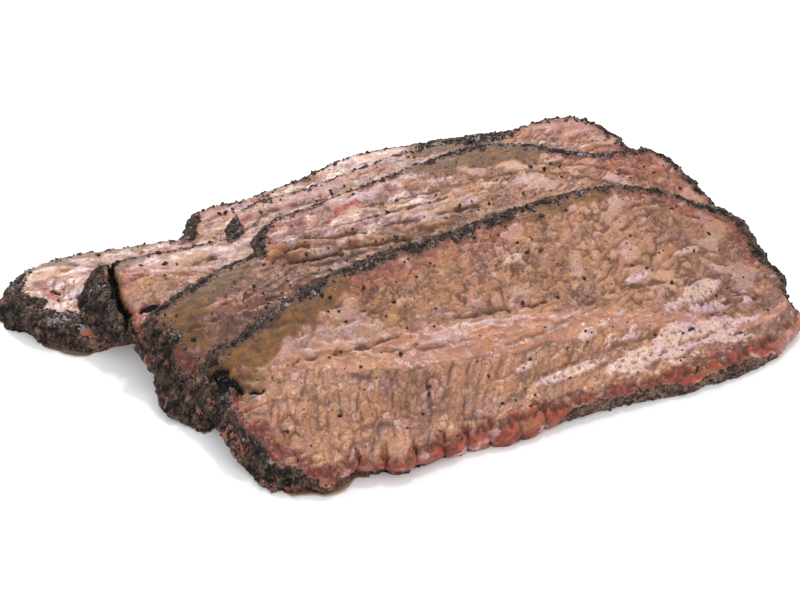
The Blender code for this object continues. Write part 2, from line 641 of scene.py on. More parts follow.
@dataclass(frozen=True)
class CutBeefFinish:
    """Smoked beef, sliced with a knife: warm brown meat, moist, with translucent fat.

    Juice lies on it in patches, so it glints in some places and is dull in others, and light
    spreads a little under the surface, which softens the fat.
    """

    meat_pale: str = "#cf9d7e"
    meat_deep: str = "#b5866b"
    meat_grain: float = 1.8  # mm
    tissues: tuple[Tissue, ...] = (
        Tissue(Mask.POINT, "#c79a7f", "#a97c64", 3.0, 0.85),
        Tissue(Mask.SEAM, "#cf9b82", "#b27f67", 5.0, 0.9),
        Tissue(Mask.DULL, "#9b6f62", "#764c42", 2.5, 0.75),
        Tissue(Mask.RENDERED, "#c09358", "#9c6c37", 1.6, 0.7),
        Tissue(Mask.CAP, "#98691c", "#66410b", 4.0, 0.96),
        Tissue(Mask.RING, "#bd6c5a", "#8a4437", 2.6, 0.8),
        Tissue(Mask.RED, "#c45a49", "#6c2922", 2.4, 0.94),
        # Painted sheen: lavender-white where wet fat would reflect the lights, over some real pale fat.
        Tissue(Mask.PALE_AND_SHEEN, "#e6dae1", "#cbb0b8", 1.8, 0.92),
        # Painted shade: dark brown in furrows, cracks and low places; also the stain in from the bark.
        Tissue(Mask.FURROW, "#6e3e20", "#3f2013", 1.5, 0.95),
        # Painted shade: near black in deep cracks and holes.
        Tissue(Mask.CREVICE, "#26100a", "#100604", 1.0),
    )
    warm_drift: str = "#fdf0d2"
    cool_drift: str = "#eadde5"
    drift: float = 9.0  # mm, of the slow change of hue over the meat
    dim: str = "#e9e0da"
    grain: float = 0.9  # mm, of the fine unevenness in brightness
    speck: str = "#3a2218"
    speck_spacing: float = 1.3  # mm, between the finest specks of pepper
    fibre: float = 0.55  # mm, of the finest fibres; real ones are 0.1, too fine to show
    fibre_height: float = 0.34
    dry_roughness: float = 0.52
    moist_roughness: float = 0.16
    moist_patch: float = 2.0  # mm, of the patches of dry and moist meat
    wet_roughness: float = 0.15
    ior: float = 1.42
    coat: float = 0.12
    coat_roughness: float = 0.14
    scatter: float = 0.10
    scatter_reach: float = 1.4  # mm
    scatter_spread: tuple[float, float, float] = (1.0, 0.35, 0.2)  # red light goes furthest

    def material(self) -> Material:
        """Builds the node material.

        Returns:
            The material.
        """
        material, tree, place = new_material("smoked_beef_sliced")
        used = (*(tissue.mask for tissue in self.tissues), Mask.TINT, Mask.WET)
        mask = {m: add(tree, "Attribute", attribute_name=m.value).outputs["Fac"] for m in used}
        finished(
            tree,
            {
                "Base Color": self._tissue_colour(tree, place, mask),
                "Roughness": self._roughness(tree, place, mask),
                "Normal": self._relief(tree, place, mask),
                "IOR": self.ior,
                "Coat Weight": self.coat,
                "Coat Roughness": self.coat_roughness,
                "Subsurface Weight": self.scatter,
                "Subsurface Radius": self.scatter_spread,
                "Subsurface Scale": self.scatter_reach * MM,
            },
        )
        return material

    def _tissue_colour(self, tree: Tree, place: Socket, mask: dict[Mask, Socket]) -> Socket:
        """Colour of the meat and the fats.

        Args:
            tree: the material's node tree.
            place: where on the object the surface is.
            mask: each tissue's share.

        Returns:
            The output that carries the colour.
        """
        colour = mottled(tree, place, self.meat_grain, self.meat_deep, self.meat_pale)
        for tissue in self.tissues:
            own = mottled(tree, place, tissue.grain, tissue.deep, tissue.pale)
            cover = add(tree, "Math", {0: mask[tissue.mask], 1: tissue.cover}, operation="MULTIPLY")
            layers = {0: cover.outputs[0], 6: colour, 7: own}
            colour = add(tree, "Mix", layers, data_type="RGBA").outputs[2]
        # Each bundle is a little lighter or darker than the next. The same mask also lightens the meat as a
        # painted highlight under the sheen and darkens it as painted shade beside the slice on top.
        light = add(tree, "MapRange", {0: mask[Mask.TINT], 3: 0.62, 4: 1.30}).outputs[0]
        colour = add(tree, "VectorMath", {0: colour, 1: light}, operation="MULTIPLY").outputs[0]
        for size, low, high in (
            (self.drift, self.cool_drift, self.warm_drift),
            (self.grain, self.dim, "#ffffff"),
        ):
            tone = mottled(tree, place, size, low, high)
            colour = add(tree, "VectorMath", {0: colour, 1: tone}, operation="MULTIPLY").outputs[0]
        dots = add(tree, "TexVoronoi", {"Vector": place, "Scale": per_mm(self.speck_spacing)})
        near = add(tree, "MapRange", {0: dots.outputs["Distance"], 1: 0.20, 2: 0.10}).outputs[0]
        some = add(tree, "Math", {0: dots.outputs["Color"], 1: 0.62}, operation="GREATER_THAN").outputs[0]
        dark = add(tree, "Math", {0: near, 1: some}, operation="MULTIPLY").outputs[0]
        layers = {0: dark, 6: colour, 7: linear(self.speck)}
        return add(tree, "Mix", layers, data_type="RGBA").outputs[2]

    def _roughness(self, tree: Tree, place: Socket, mask: dict[Mask, Socket]) -> Socket:
        """Roughness: patches of dry and moist meat, smooth under juice.

        Args:
            tree: the material's node tree.
            place: where on the object the surface is.
            mask: each tissue's share.

        Returns:
            The output that carries the roughness.
        """
        size = per_mm(self.moist_patch)
        patches = add(tree, "TexNoise", {"Vector": place, "Scale": size, "Detail": 4.0})
        span = {1: 0.40, 2: 0.58, 3: self.moist_roughness, 4: self.dry_roughness}
        meat = add(tree, "MapRange", {0: patches.outputs["Fac"], **span}).outputs[0]
        return add(tree, "Mix", {0: mask[Mask.WET], 2: meat, 3: self.wet_roughness}).outputs[0]

    def _relief(self, tree: Tree, place: Socket, mask: dict[Mask, Socket]) -> Socket:
        """Finest relief: fibres, fainter under juice.

        Args:
            tree: the material's node tree.
            place: where on the object the surface is.
            mask: each tissue's share.

        Returns:
            The output that carries the normal.
        """
        fibres = add(tree, "TexNoise", {"Vector": place, "Scale": per_mm(self.fibre), "Detail": 3.0})
        bared = add(tree, "MapRange", {0: mask[Mask.WET], 3: 1.0, 4: 0.25}).outputs[0]
        fine = add(tree, "Math", {0: fibres.outputs["Fac"], 1: bared}, operation="MULTIPLY").outputs[0]
        raised = {"Height": fine, "Distance": self.fibre_height * MM, "Strength": 1.0}
        return add(tree, "Bump", raised).outputs["Normal"]


@dataclass(frozen=True)
class BarkFinish:
    """Bark of a smoked brisket: dry char and grains of spice, black in its pits and grey-brown on its raised
    grains, which are painted shade and painted light.

    It is dull, and here and there pale grains of salt and ash lie on it; on its top they are also painted
    glints.
    """

    # char is also the pits' painted shade and spice the raised grains' painted light; ash is salt and ash
    # with painted glints.
    char: str = "#0e0907"
    spice: str = "#87675a"
    ash: str = "#aaa3a4"
    grain: float = 1.1  # mm
    height: float = 0.6  # mm, of the grains
    ash_patch: float = 7.0  # mm, between the patches where ash lies
    roughness: float = 0.65

    def material(self) -> Material:
        """Builds the node material.

        Returns:
            The material.
        """
        material, tree, place = new_material("brisket_bark_smoked")
        rise = add(tree, "Attribute", attribute_name=Mask.TINT.value).outputs["Fac"]
        grains = add(tree, "TexVoronoi", {"Vector": place, "Scale": per_mm(self.grain)})
        noise = add(tree, "TexNoise", {"Vector": place, "Scale": per_mm(self.grain), "Detail": 4.0})
        patch = add(tree, "TexNoise", {"Vector": place, "Scale": per_mm(self.ash_patch), "Detail": 2.0})
        # Painted light and shade: raised grains towards spice, pits towards char.
        lit = add(tree, "Math", {0: rise, 1: grains.outputs["Color"]}, operation="MULTIPLY").outputs[0]
        shade = add(tree, "MapRange", {0: lit, 1: 0.04, 2: 0.50}).outputs[0]
        tones = {0: shade, 6: linear(self.char), 7: linear(self.spice)}
        dark = add(tree, "Mix", tones, data_type="RGBA").outputs[2]
        # Salt and ash, with painted glints where the sheen mask is high.
        ashen = add(tree, "Attribute", attribute_name=Mask.PALE_AND_SHEEN.value).outputs["Fac"]
        both = {0: noise.outputs["Fac"], 1: patch.outputs["Fac"]}
        dust = add(tree, "Math", both, operation="MULTIPLY").outputs[0]
        dust = add(tree, "Math", {0: ashen, 1: 0.12, 2: dust}, operation="MULTIPLY_ADD").outputs[0]
        pale = add(tree, "MapRange", {0: dust, 1: 0.38, 2: 0.47, 4: 0.8}).outputs[0]
        layers = {0: pale, 6: dark, 7: linear(self.ash)}
        domes = {0: noise.outputs["Fac"], 1: grains.outputs["Distance"]}
        relief = add(tree, "Math", domes, operation="SUBTRACT").outputs[0]
        bump = {"Height": relief, "Distance": self.height * MM, "Strength": 1.0}
        finished(
            tree,
            {
                "Base Color": add(tree, "Mix", layers, data_type="RGBA").outputs[2],
                "Roughness": self.roughness,
                "Normal": add(tree, "Bump", bump).outputs["Normal"],
                "Specular IOR Level": 0.25,
            },
        )
        return material


@dataclass(frozen=True)
class GrainFinish:
    """Loose grains, such as cracked pepper, char or torn meat: uneven in colour, a little moist."""

    name: str
    pale: str
    deep: str
    grain: float = 0.7  # mm
    roughness: float = 0.5
    specular: float = 0.5
    coat: float = 0.2
    height: float = 0.2  # mm, of the relief on a grain

    def material(self) -> Material:
        """Builds the node material.

        Returns:
            The material.
        """
        material, tree, place = new_material(self.name)
        noise = add(tree, "TexNoise", {"Vector": place, "Scale": per_mm(self.grain), "Detail": 4.0})
        bump = {"Height": noise.outputs["Fac"], "Distance": self.height * MM, "Strength": 0.8}
        finished(
            tree,
            {
                "Base Color": mottled(tree, place, self.grain, self.deep, self.pale),
                "Roughness": self.roughness,
                "Normal": add(tree, "Bump", bump).outputs["Normal"],
                "Specular IOR Level": self.specular,
                "Coat Weight": self.coat,
                "Coat Roughness": 0.2,
            },
        )
        return material


@dataclass(frozen=True)
class JuiceFinish:
    """Meat juice with melted fat, run out on the table: a clear amber film with a sharp shine."""

    pale: str = "#fdf3e4"
    deep: str = "#f5e0c2"
    grain: float = 4.0  # mm
    roughness: float = 0.06
    ior: float = 1.36
    clarity: float = 0.9

    def material(self) -> Material:
        """Builds the node material.

        Returns:
            The material.
        """
        material, tree, place = new_material("brisket_juice")
        finished(
            tree,
            {
                "Base Color": mottled(tree, place, self.grain, self.deep, self.pale),
                "Roughness": self.roughness,
                "IOR": self.ior,
                "Transmission Weight": self.clarity,
            },
        )
        return material


@dataclass(frozen=True)
class FloorFinish:
    """Matt white acrylic, lit softly from below as a studio's table is: an even pale ground."""

    pale: str = "#f6f5f6"
    deep: str = "#f2f1f2"
    grain: float = 60.0  # mm
    roughness: float = 0.6
    glow: float = 0.12

    def material(self) -> Material:
        """Builds the node material.

        Returns:
            The material.
        """
        material, tree, place = new_material("white_acrylic_table")
        finished(
            tree,
            {
                "Base Color": mottled(tree, place, self.grain, self.deep, self.pale),
                "Roughness": self.roughness,
                "Specular IOR Level": 0.2,
                "Emission Color": linear("#ffffff"),
                "Emission Strength": self.glow,
            },
        )
        return material


# ---- The slices


@dataclass(frozen=True)
class Stroke:
    """A fold, a furrow or an open crack along a line of shares of the length and of the depth; furrows and
    cracks are painted dark as shade, and pale folds painted light as a highlight.
    """

    line: Knots
    width: float  # mm
    height: float  # mm, below 0 for a furrow or a crack
    strength: float = 1.0
    paint: Mask = Mask.FURROW


@dataclass(frozen=True)
class Plateau:
    """A flat-topped wet patch, painted pale as a sheen of light: its middle as shares of length and depth,
    and its size in mm.
    """

    middle: tuple[float, float]
    length: float
    width: float


@dataclass(frozen=True)
class Bulge:
    """A place where the outline stands out past the CAD solid's, or less than it where below 0."""

    middle: tuple[float, float]  # in the frame's plan, mm
    reach: float  # mm
    face: float  # mm, that the cut face's edge moves out
    foot: float  # mm, that the foot moves out
    torn: float = 0.0  # share of the bark that is torn off there


@dataclass(frozen=True)
class Anatomy:
    """Where the tissues lie on one slice's cut face.

    Knots pair a share of the slice's length, from its left end, with a value: for the seam the
    share of the slice's depth from its front side, for depths mm from the rim, and for the rest
    a share from 0 to 1.  Past the first and the last knot the value stays the same.
    """

    seam: Knots = (
        (0, 0.8), (0.1, 0.74), (0.16, 0.66), (0.22, 0.58), (0.3, 0.51), (0.39, 0.46), (0.5, 0.42),
        (0.6, 0.37), (0.75, 0.28), (0.88, 0.15), (1, 0.08),
    )
    seam_width: Knots = (
        (0, 0), (0.08, 1.5), (0.14, 8), (0.2, 13), (0.3, 14), (0.42, 15), (0.52, 13), (0.65, 8),
        (0.8, 5), (0.9, 6), (1, 2),
    )
    cap: Knots = level(0.0)
    ring: Knots = level(0.0)
    red: Knots = level(2.0)
    bark_back: Knots = level(1.8)
    bark_front: Knots = ((0, 1.2), (0.04, 1), (0.08, -2), (0.95, -2), (1, 2.5))
    # The wet patches are painted pale as a sheen of light.
    scabs: Knots = level(0.0)  # how much of the front part wet patches cover
    dull: Knots = level(0.0)  # of the meat that is purple and grey
    # The pale film is partly pale fat and partly painted sheen.
    pallor: Knots = level(0.0)  # how much pale wet fat covers the face
    drawn_out: float = 0.0  # how far the point muscle's lumps are drawn out into long fibres
    coarse: float = 1.0  # height of the relief
    # Beside the slice on top the face is also painted darker as shade.
    littered: float = 0.0  # how much lies beside the slice on top
    strokes: tuple[Stroke, ...] = ()
    plateaus: tuple[Plateau, ...] = ()
    bundle_ends: Knots = level(0.0)  # mm that the front side's bundles stand out
    red_rim: Knots = level(0.5)  # share of the front rim's height that is bare meat
    bulges: tuple[Bulge, ...] = ()


FRONT = Anatomy(
    bark_back=((0, 3.4), (0.22, 3.7), (0.34, 4.4), (0.56, 4.6), (0.7, 3), (0.88, 2.4), (0.96, 4.5), (1, 4)),
    cap=(
        (0, 5), (0.03, 10), (0.08, 16), (0.13, 14), (0.18, 13), (0.22, 13), (0.25, 10), (0.28, 4), (0.31, 0),
        (0.54, 0), (0.58, 7), (0.66, 9), (0.74, 7), (0.79, 0),
    ),
    ring=(
        (0.23, 0), (0.27, 13), (0.34, 14), (0.44, 12), (0.56, 13), (0.64, 6), (0.74, 3), (0.83, 6),
        (0.9, 9), (0.97, 10), (1, 6),
    ),
    red=(
        (0, 5), (0.03, 7), (0.06, 8), (0.09, 3), (0.18, 1.2), (0.31, 1.5), (0.38, 3), (0.5, 4.5),
        (0.58, 3.5), (0.68, 1.5), (0.76, 5), (0.83, 6), (0.9, 2), (0.94, 0),
    ),
    scabs=((0.46, 0), (0.54, 0.5), (0.62, 0.95), (0.9, 0.95), (0.95, 0.3), (1, 0)),
    dull=((0, 0), (0.2, 0.2), (0.27, 0.55), (0.36, 0.35), (0.45, 0.1), (0.78, 0.15), (0.87, 0.65), (1, 0.9)),
    strokes=(
        Stroke(((0.12, 0.77), (0.17, 0.755), (0.22, 0.715), (0.27, 0.67)), 2.6, 0.9, 0.45, Mask.PALE_AND_SHEEN),
        Stroke(((0.14, 0.71), (0.19, 0.685), (0.24, 0.645), (0.29, 0.62)), 1, 0.6, 0.7, Mask.PALE_AND_SHEEN),
        Stroke(((0.12, 0.695), (0.18, 0.655), (0.24, 0.61), (0.3, 0.59)), 0.6, -0.8),
        Stroke(((0.09, 0.92), (0.14, 0.87), (0.19, 0.8), (0.24, 0.74)), 0.8, -0.5, 0.6),
        Stroke(((0.39, 0.58), (0.45, 0.56), (0.51, 0.53)), 0.7, -0.9),
        Stroke(((0.51, 0.53), (0.54, 0.52), (0.565, 0.525)), 0.7, -1),
        Stroke(((0.36, 0.53), (0.42, 0.515), (0.46, 0.5), (0.51, 0.48)), 1, 0.5, 0.7, Mask.PALE_AND_SHEEN),
        Stroke(((0.29, 0.53), (0.34, 0.505), (0.4, 0.48)), 0.9, 0.5, 0.6, Mask.PALE_AND_SHEEN),
        Stroke(((0.27, 0.55), (0.34, 0.475), (0.42, 0.45)), 0.5, -0.6, 0.7),
        Stroke(((0.305, 0.5), (0.325, 0.51)), 0.9, -0.9),
        Stroke(((0.44, 0.37), (0.52, 0.375), (0.6, 0.4), (0.66, 0.43)), 0.8, -0.3, 0.55),
        Stroke(((0.5, 0.18), (0.58, 0.215), (0.65, 0.22), (0.71, 0.225)), 0.8, -0.5, 0.7),
        Stroke(((0.63, 0.45), (0.7, 0.48), (0.78, 0.46)), 0.8, -0.7, 0.8),
        Stroke(((0.86, 0.3), (0.9, 0.33), (0.94, 0.27)), 0.8, -0.9, 0.9),
        Stroke(((0.74, 0.8), (0.8, 0.87), (0.86, 0.92)), 0.7, -0.7, 0.8),
        Stroke(((0.75, 0.74), (0.84, 0.86), (0.91, 0.86)), 0.7, -0.8, 0.8),
        Stroke(((0.002, 0.84), (0.005, 0.77), (0.018, 0.71)), 3.2, -4.5, 1, Mask.CREVICE),
        Stroke(((0.03, 0.63), (0.045, 0.6), (0.055, 0.605)), 0.6, -1.6, 1, Mask.CREVICE),
        Stroke(((0.012, 0.62), (0.006, 0.52)), 1.6, -1.6, 1, Mask.RED),
    ),
    plateaus=(
        Plateau((0.605, 0.31), 7, 4.5), Plateau((0.66, 0.13), 24, 8), Plateau((0.545, 0.155), 26, 4.5),
        Plateau((0.745, 0.19), 17, 8), Plateau((0.735, 0.11), 9, 5), Plateau((0.815, 0.2), 18, 6),
        Plateau((0.835, 0.385), 15, 8), Plateau((0.78, 0.335), 8, 4), Plateau((0.735, 0.5), 9, 3.5),
        Plateau((0.48, 0.24), 8, 2.5), Plateau((0.85, 0.62), 10, 3), Plateau((0.54, 0.74), 8, 2.6),
    ),
    bundle_ends=((0, 0), (0.09, 0.2), (0.12, 2.6), (0.32, 2.4), (0.46, 1.4), (0.52, 0.3)),
    red_rim=(
        (0, 0.45), (0.12, 0.5), (0.2, 0.62), (0.28, 0.85), (0.33, 1.1), (0.48, 1), (0.52, 0.15),
        (0.6, 0.1), (0.7, 0.12), (0.74, 0.3), (0.78, 0.15), (0.84, 0.12), (0.88, 0.35), (0.92, 0.9),
        (1, 0.8),
    ),
    bulges=(
        Bulge((133, -27), 10, 3.5, 2), Bulge((135, -45), 6, -2.2, -1.5), Bulge((134, -56), 4, 1.6, 1),
        Bulge((133, -63), 3, -1, -0.5), Bulge((130, -73), 7, 1.2, 2), Bulge((118, -83), 9, 0.5, 3),
        Bulge((102, -88), 12, 1, 3.5), Bulge((75, -88), 13, 0.6, 3.5), Bulge((10, -87), 14, 1.8, 4),
        Bulge((-49, -87), 10, -3, -4), Bulge((-63, -86), 6, 1.6, 2.4, 0.5),
        Bulge((-86, -52), 10, 4, -1, 0.75), Bulge((-82, -28), 9, 5.5, 4.5),
    ),
)
SECOND = Anatomy(
    bark_back=(
        (0.2, 3), (0.26, 2.2), (0.32, 1.6), (0.55, 1.8), (0.62, 3.2), (0.8, 2.6), (0.95, 3.4), (1, 3),
    ),
    bark_front=((0.025, 1), (0.045, 4), (0.06, 4), (0.1, 2)),
    cap=(
        (0, 9), (0.05, 15), (0.11, 13), (0.165, 10), (0.2, 4), (0.22, 0), (0.48, 0), (0.61, 12), (0.66, 13),
        (0.74, 10), (0.78, 0),
    ),
    ring=(
        (0.23, 0), (0.25, 8), (0.3, 11), (0.38, 8), (0.49, 8), (0.54, 0), (0.76, 0), (0.8, 12), (0.88, 16),
        (1, 14),
    ),
    red=((0, 5), (0.06, 8), (0.12, 6), (0.2, 3)),
    dull=((0, 0.7), (0.3, 0.8), (0.42, 0.3)),
    pallor=((0, 0), (0.22, 0.05), (0.3, 0.55), (0.5, 0.55), (0.62, 0.2), (1, 0.1)),
    drawn_out=0.15,
    coarse=1.35,
    littered=1,
    strokes=(
        Stroke(((0.25, 0.66), (0.3, 0.59), (0.34, 0.577), (0.4, 0.58)), 0.9, -1),
        Stroke(((0.38, 0.95), (0.44, 0.94), (0.5, 0.93)), 2.6, 0.3, 0.8, Mask.PALE_AND_SHEEN),
        Stroke(((0.235, 0.84), (0.26, 0.81), (0.285, 0.78)), 2, 1.3, 0.9, Mask.RENDERED),
        Stroke(((0.245, 0.75), (0.27, 0.72), (0.3, 0.69)), 2, 1.3, 0.8, Mask.RENDERED),
        Stroke(((0.295, 0.76), (0.33, 0.71), (0.375, 0.67)), 2.2, 1.3, 0.9, Mask.SEAM),
        Stroke(((0.31, 0.82), (0.36, 0.77), (0.41, 0.745)), 1.8, 1.1, 0.4, Mask.PALE_AND_SHEEN),
        Stroke(((0.4, 0.66), (0.46, 0.64), (0.53, 0.6)), 2, 1.2, 0.6, Mask.RENDERED),
        Stroke(((0.235, 0.79), (0.27, 0.76), (0.3, 0.73)), 0.8, -1.3),
        Stroke(((0.3, 0.79), (0.35, 0.73), (0.4, 0.705)), 0.8, -1.2),
        Stroke(((0.26, 0.69), (0.3, 0.645), (0.345, 0.625)), 1, -1.7),
        Stroke(((0.285, 0.66), (0.31, 0.64)), 0.6, -1, 1, Mask.CREVICE),
        Stroke(((0.345, 0.65), (0.4, 0.61), (0.46, 0.585)), 0.8, -1.4),
        Stroke(((0.27, 0.935), (0.295, 0.915), (0.325, 0.895)), 1.7, 0.6, 0.95, Mask.RED),
        Stroke(((0.335, 0.86), (0.36, 0.86), (0.385, 0.885), (0.42, 0.91)), 1.5, -0.7, 0.95, Mask.RED),
        Stroke(((0.06, 0.64), (0.13, 0.64), (0.2, 0.61), (0.29, 0.5)), 0.9, -0.8),
        Stroke(((0.1, 0.7), (0.17, 0.69), (0.24, 0.64)), 0.8, -0.6),
        Stroke(((0.125, 0.74), (0.16, 0.73), (0.19, 0.705)), 0.9, -0.4, 0.7, Mask.RED),
        Stroke(((0.35, 0.8), (0.45, 0.77), (0.56, 0.73)), 0.8, -0.9),
        Stroke(((0.37, 0.73), (0.47, 0.69), (0.6, 0.64)), 0.8, -0.9),
        Stroke(((0.42, 0.87), (0.52, 0.82), (0.62, 0.78)), 0.8, -0.9, 0.8),
        Stroke(((0.39, 0.765), (0.5, 0.73), (0.62, 0.68)), 1.4, 0.6, 0.5, Mask.PALE_AND_SHEEN),
        Stroke(((0.02, 0.6), (0.028, 0.45), (0.02, 0.25)), 1.8, -0.8, 0.8, Mask.RED),
        Stroke(((0.62, 0.8), (0.72, 0.78), (0.84, 0.7)), 0.8, -0.9, 0.8),
        Stroke(((0.68, 0.88), (0.78, 0.84), (0.9, 0.72)), 0.8, -0.9, 0.8),
    ),
    bundle_ends=((0, 0), (0.1, 1)),
    bulges=(
        Bulge((124, 17), 9, 4, 3), Bulge((132, 2), 7, -2, -2), Bulge((-97, -18), 12, 1, 3.5),
        Bulge((-88, -33), 8, 0.5, 3), Bulge((-98, -6), 5, 1.5, 1.5, 0.6),
    ),
)
THIRD = Anatomy(
    cap=((0, 6), (0.03, 8), (0.08, 6), (0.12, 2), (0.14, 0), (0.6, 0), (0.64, 7), (0.76, 8), (0.8, 0)),
    ring=((0.24, 0), (0.27, 8), (0.4, 8), (0.55, 7), (0.6, 0), (0.78, 0), (0.82, 12), (0.9, 16), (1, 14)),
    bark_back=(
        (0, 7), (0.018, 6), (0.035, 1.5), (0.235, 1.6), (0.245, 5), (0.28, 5), (0.29, 1.9), (0.62, 1.9),
        (0.68, 4.5), (0.79, 4.5), (0.84, 2.2), (1, 2.6),
    ),
    bark_front=((0, 7), (0.015, 5), (0.03, -1), (0.06, 1), (0.12, 2.5), (1, 2)),
    pallor=((0, 0), (0.14, 0.15), (0.22, 0.55), (0.3, 0.8), (0.55, 0.8), (0.7, 0.6), (1, 0.4)),
    drawn_out=0.7,
    coarse=1.4,
    littered=0.35,
    strokes=(
        Stroke(((0.042, 0.93), (0.028, 0.6), (0.02, 0.1)), 1.9, -6, 1, Mask.CREVICE),
        Stroke(((0.034, 0.95), (0.02, 0.62)), 0.7, 0.4, 1, Mask.RED),
        Stroke(((0.062, 0.85), (0.048, 0.55), (0.04, 0.15)), 1.8, 0.2, 0.9, Mask.RED),
        Stroke(((0.05, 0.24), (0.075, 0.33)), 1.8, -3, 1, Mask.CREVICE),
        Stroke(((0.16, 0.8), (0.22, 0.83), (0.27, 0.72), (0.34, 0.74)), 1.6, -0.6, 0.8),
        Stroke(((0.1, 0.74), (0.18, 0.72), (0.26, 0.66)), 1.4, 0.5, 0.6, Mask.PALE_AND_SHEEN),
        Stroke(((0.09, 0.9), (0.16, 0.9), (0.24, 0.86)), 3, 0.4, 0.9, Mask.PALE_AND_SHEEN),
        Stroke(((0.262, 0.9), (0.28, 0.9), (0.3, 0.91)), 1.8, -0.3, 0.9, Mask.RED),
        Stroke(((0.24, 0.92), (0.34, 0.9), (0.44, 0.88)), 0.9, -0.7, 0.8),
        Stroke(((0.28, 0.82), (0.38, 0.84), (0.48, 0.82)), 1.3, 0.6, 0.6, Mask.PALE_AND_SHEEN),
    ),
    bundle_ends=((0, 0), (0.1, 1)),
    bulges=(
        Bulge((121, 38), 9, -2.5, -2.5), Bulge((-107, 16), 8, 0, -2.5), Bulge((-112, 32), 5, 2, 1.5),
        Bulge((-97, 10), 7, 0, 0, 0.7),
    ),
)
BACK = Anatomy(
    bark_back=((0, 7), (0.03, 4), (0.06, 1.2), (0.3, 1.4), (0.315, 4.5), (0.345, 4.5), (0.36, 1.6), (1, 2)),
    bark_front=((0, 7), (0.045, 10), (0.07, 7), (0.11, 3), (1, 2.5)),
    cap=((0, 0), (0.05, 6), (0.2, 6), (0.3, 0)),
    ring=((0.31, 0), (0.34, 9), (0.46, 7), (0.5, 0), (0.7, 0), (0.8, 10), (1, 14)),
    pallor=((0.24, 0.8), (0.32, 0.4), (0.42, 0.6), (0.6, 0.8), (0.8, 0.5), (1, 0.4)),
    drawn_out=0.8,
    coarse=1.3,
    strokes=(
        Stroke(((0.06, 0.7), (0.056, 0.55), (0.07, 0.45)), 2, -0.2, 0.9, Mask.RED),
        Stroke(((0.068, 0.56), (0.078, 0.52)), 0.7, -0.9, 1, Mask.CREVICE),
        Stroke(((0.1, 0.8), (0.2, 0.8), (0.3, 0.84)), 0.9, -0.5, 0.6),
        Stroke(((0.05, 0.86), (0.12, 0.88), (0.22, 0.9)), 2, 0.4, 0.9, Mask.PALE_AND_SHEEN),
    ),
    red_rim=((0.25, 0), (0.35, 0.5)),
    bulges=(
        Bulge((100, 62), 7, 3.5, 2), Bulge((-112, 28), 12, 1, 5), Bulge((-134, 45), 8, 0, -6.5),
    ),
)
ANATOMY = {"slice_front": FRONT, "slice_second": SECOND, "slice_third": THIRD, "slice_back": BACK}


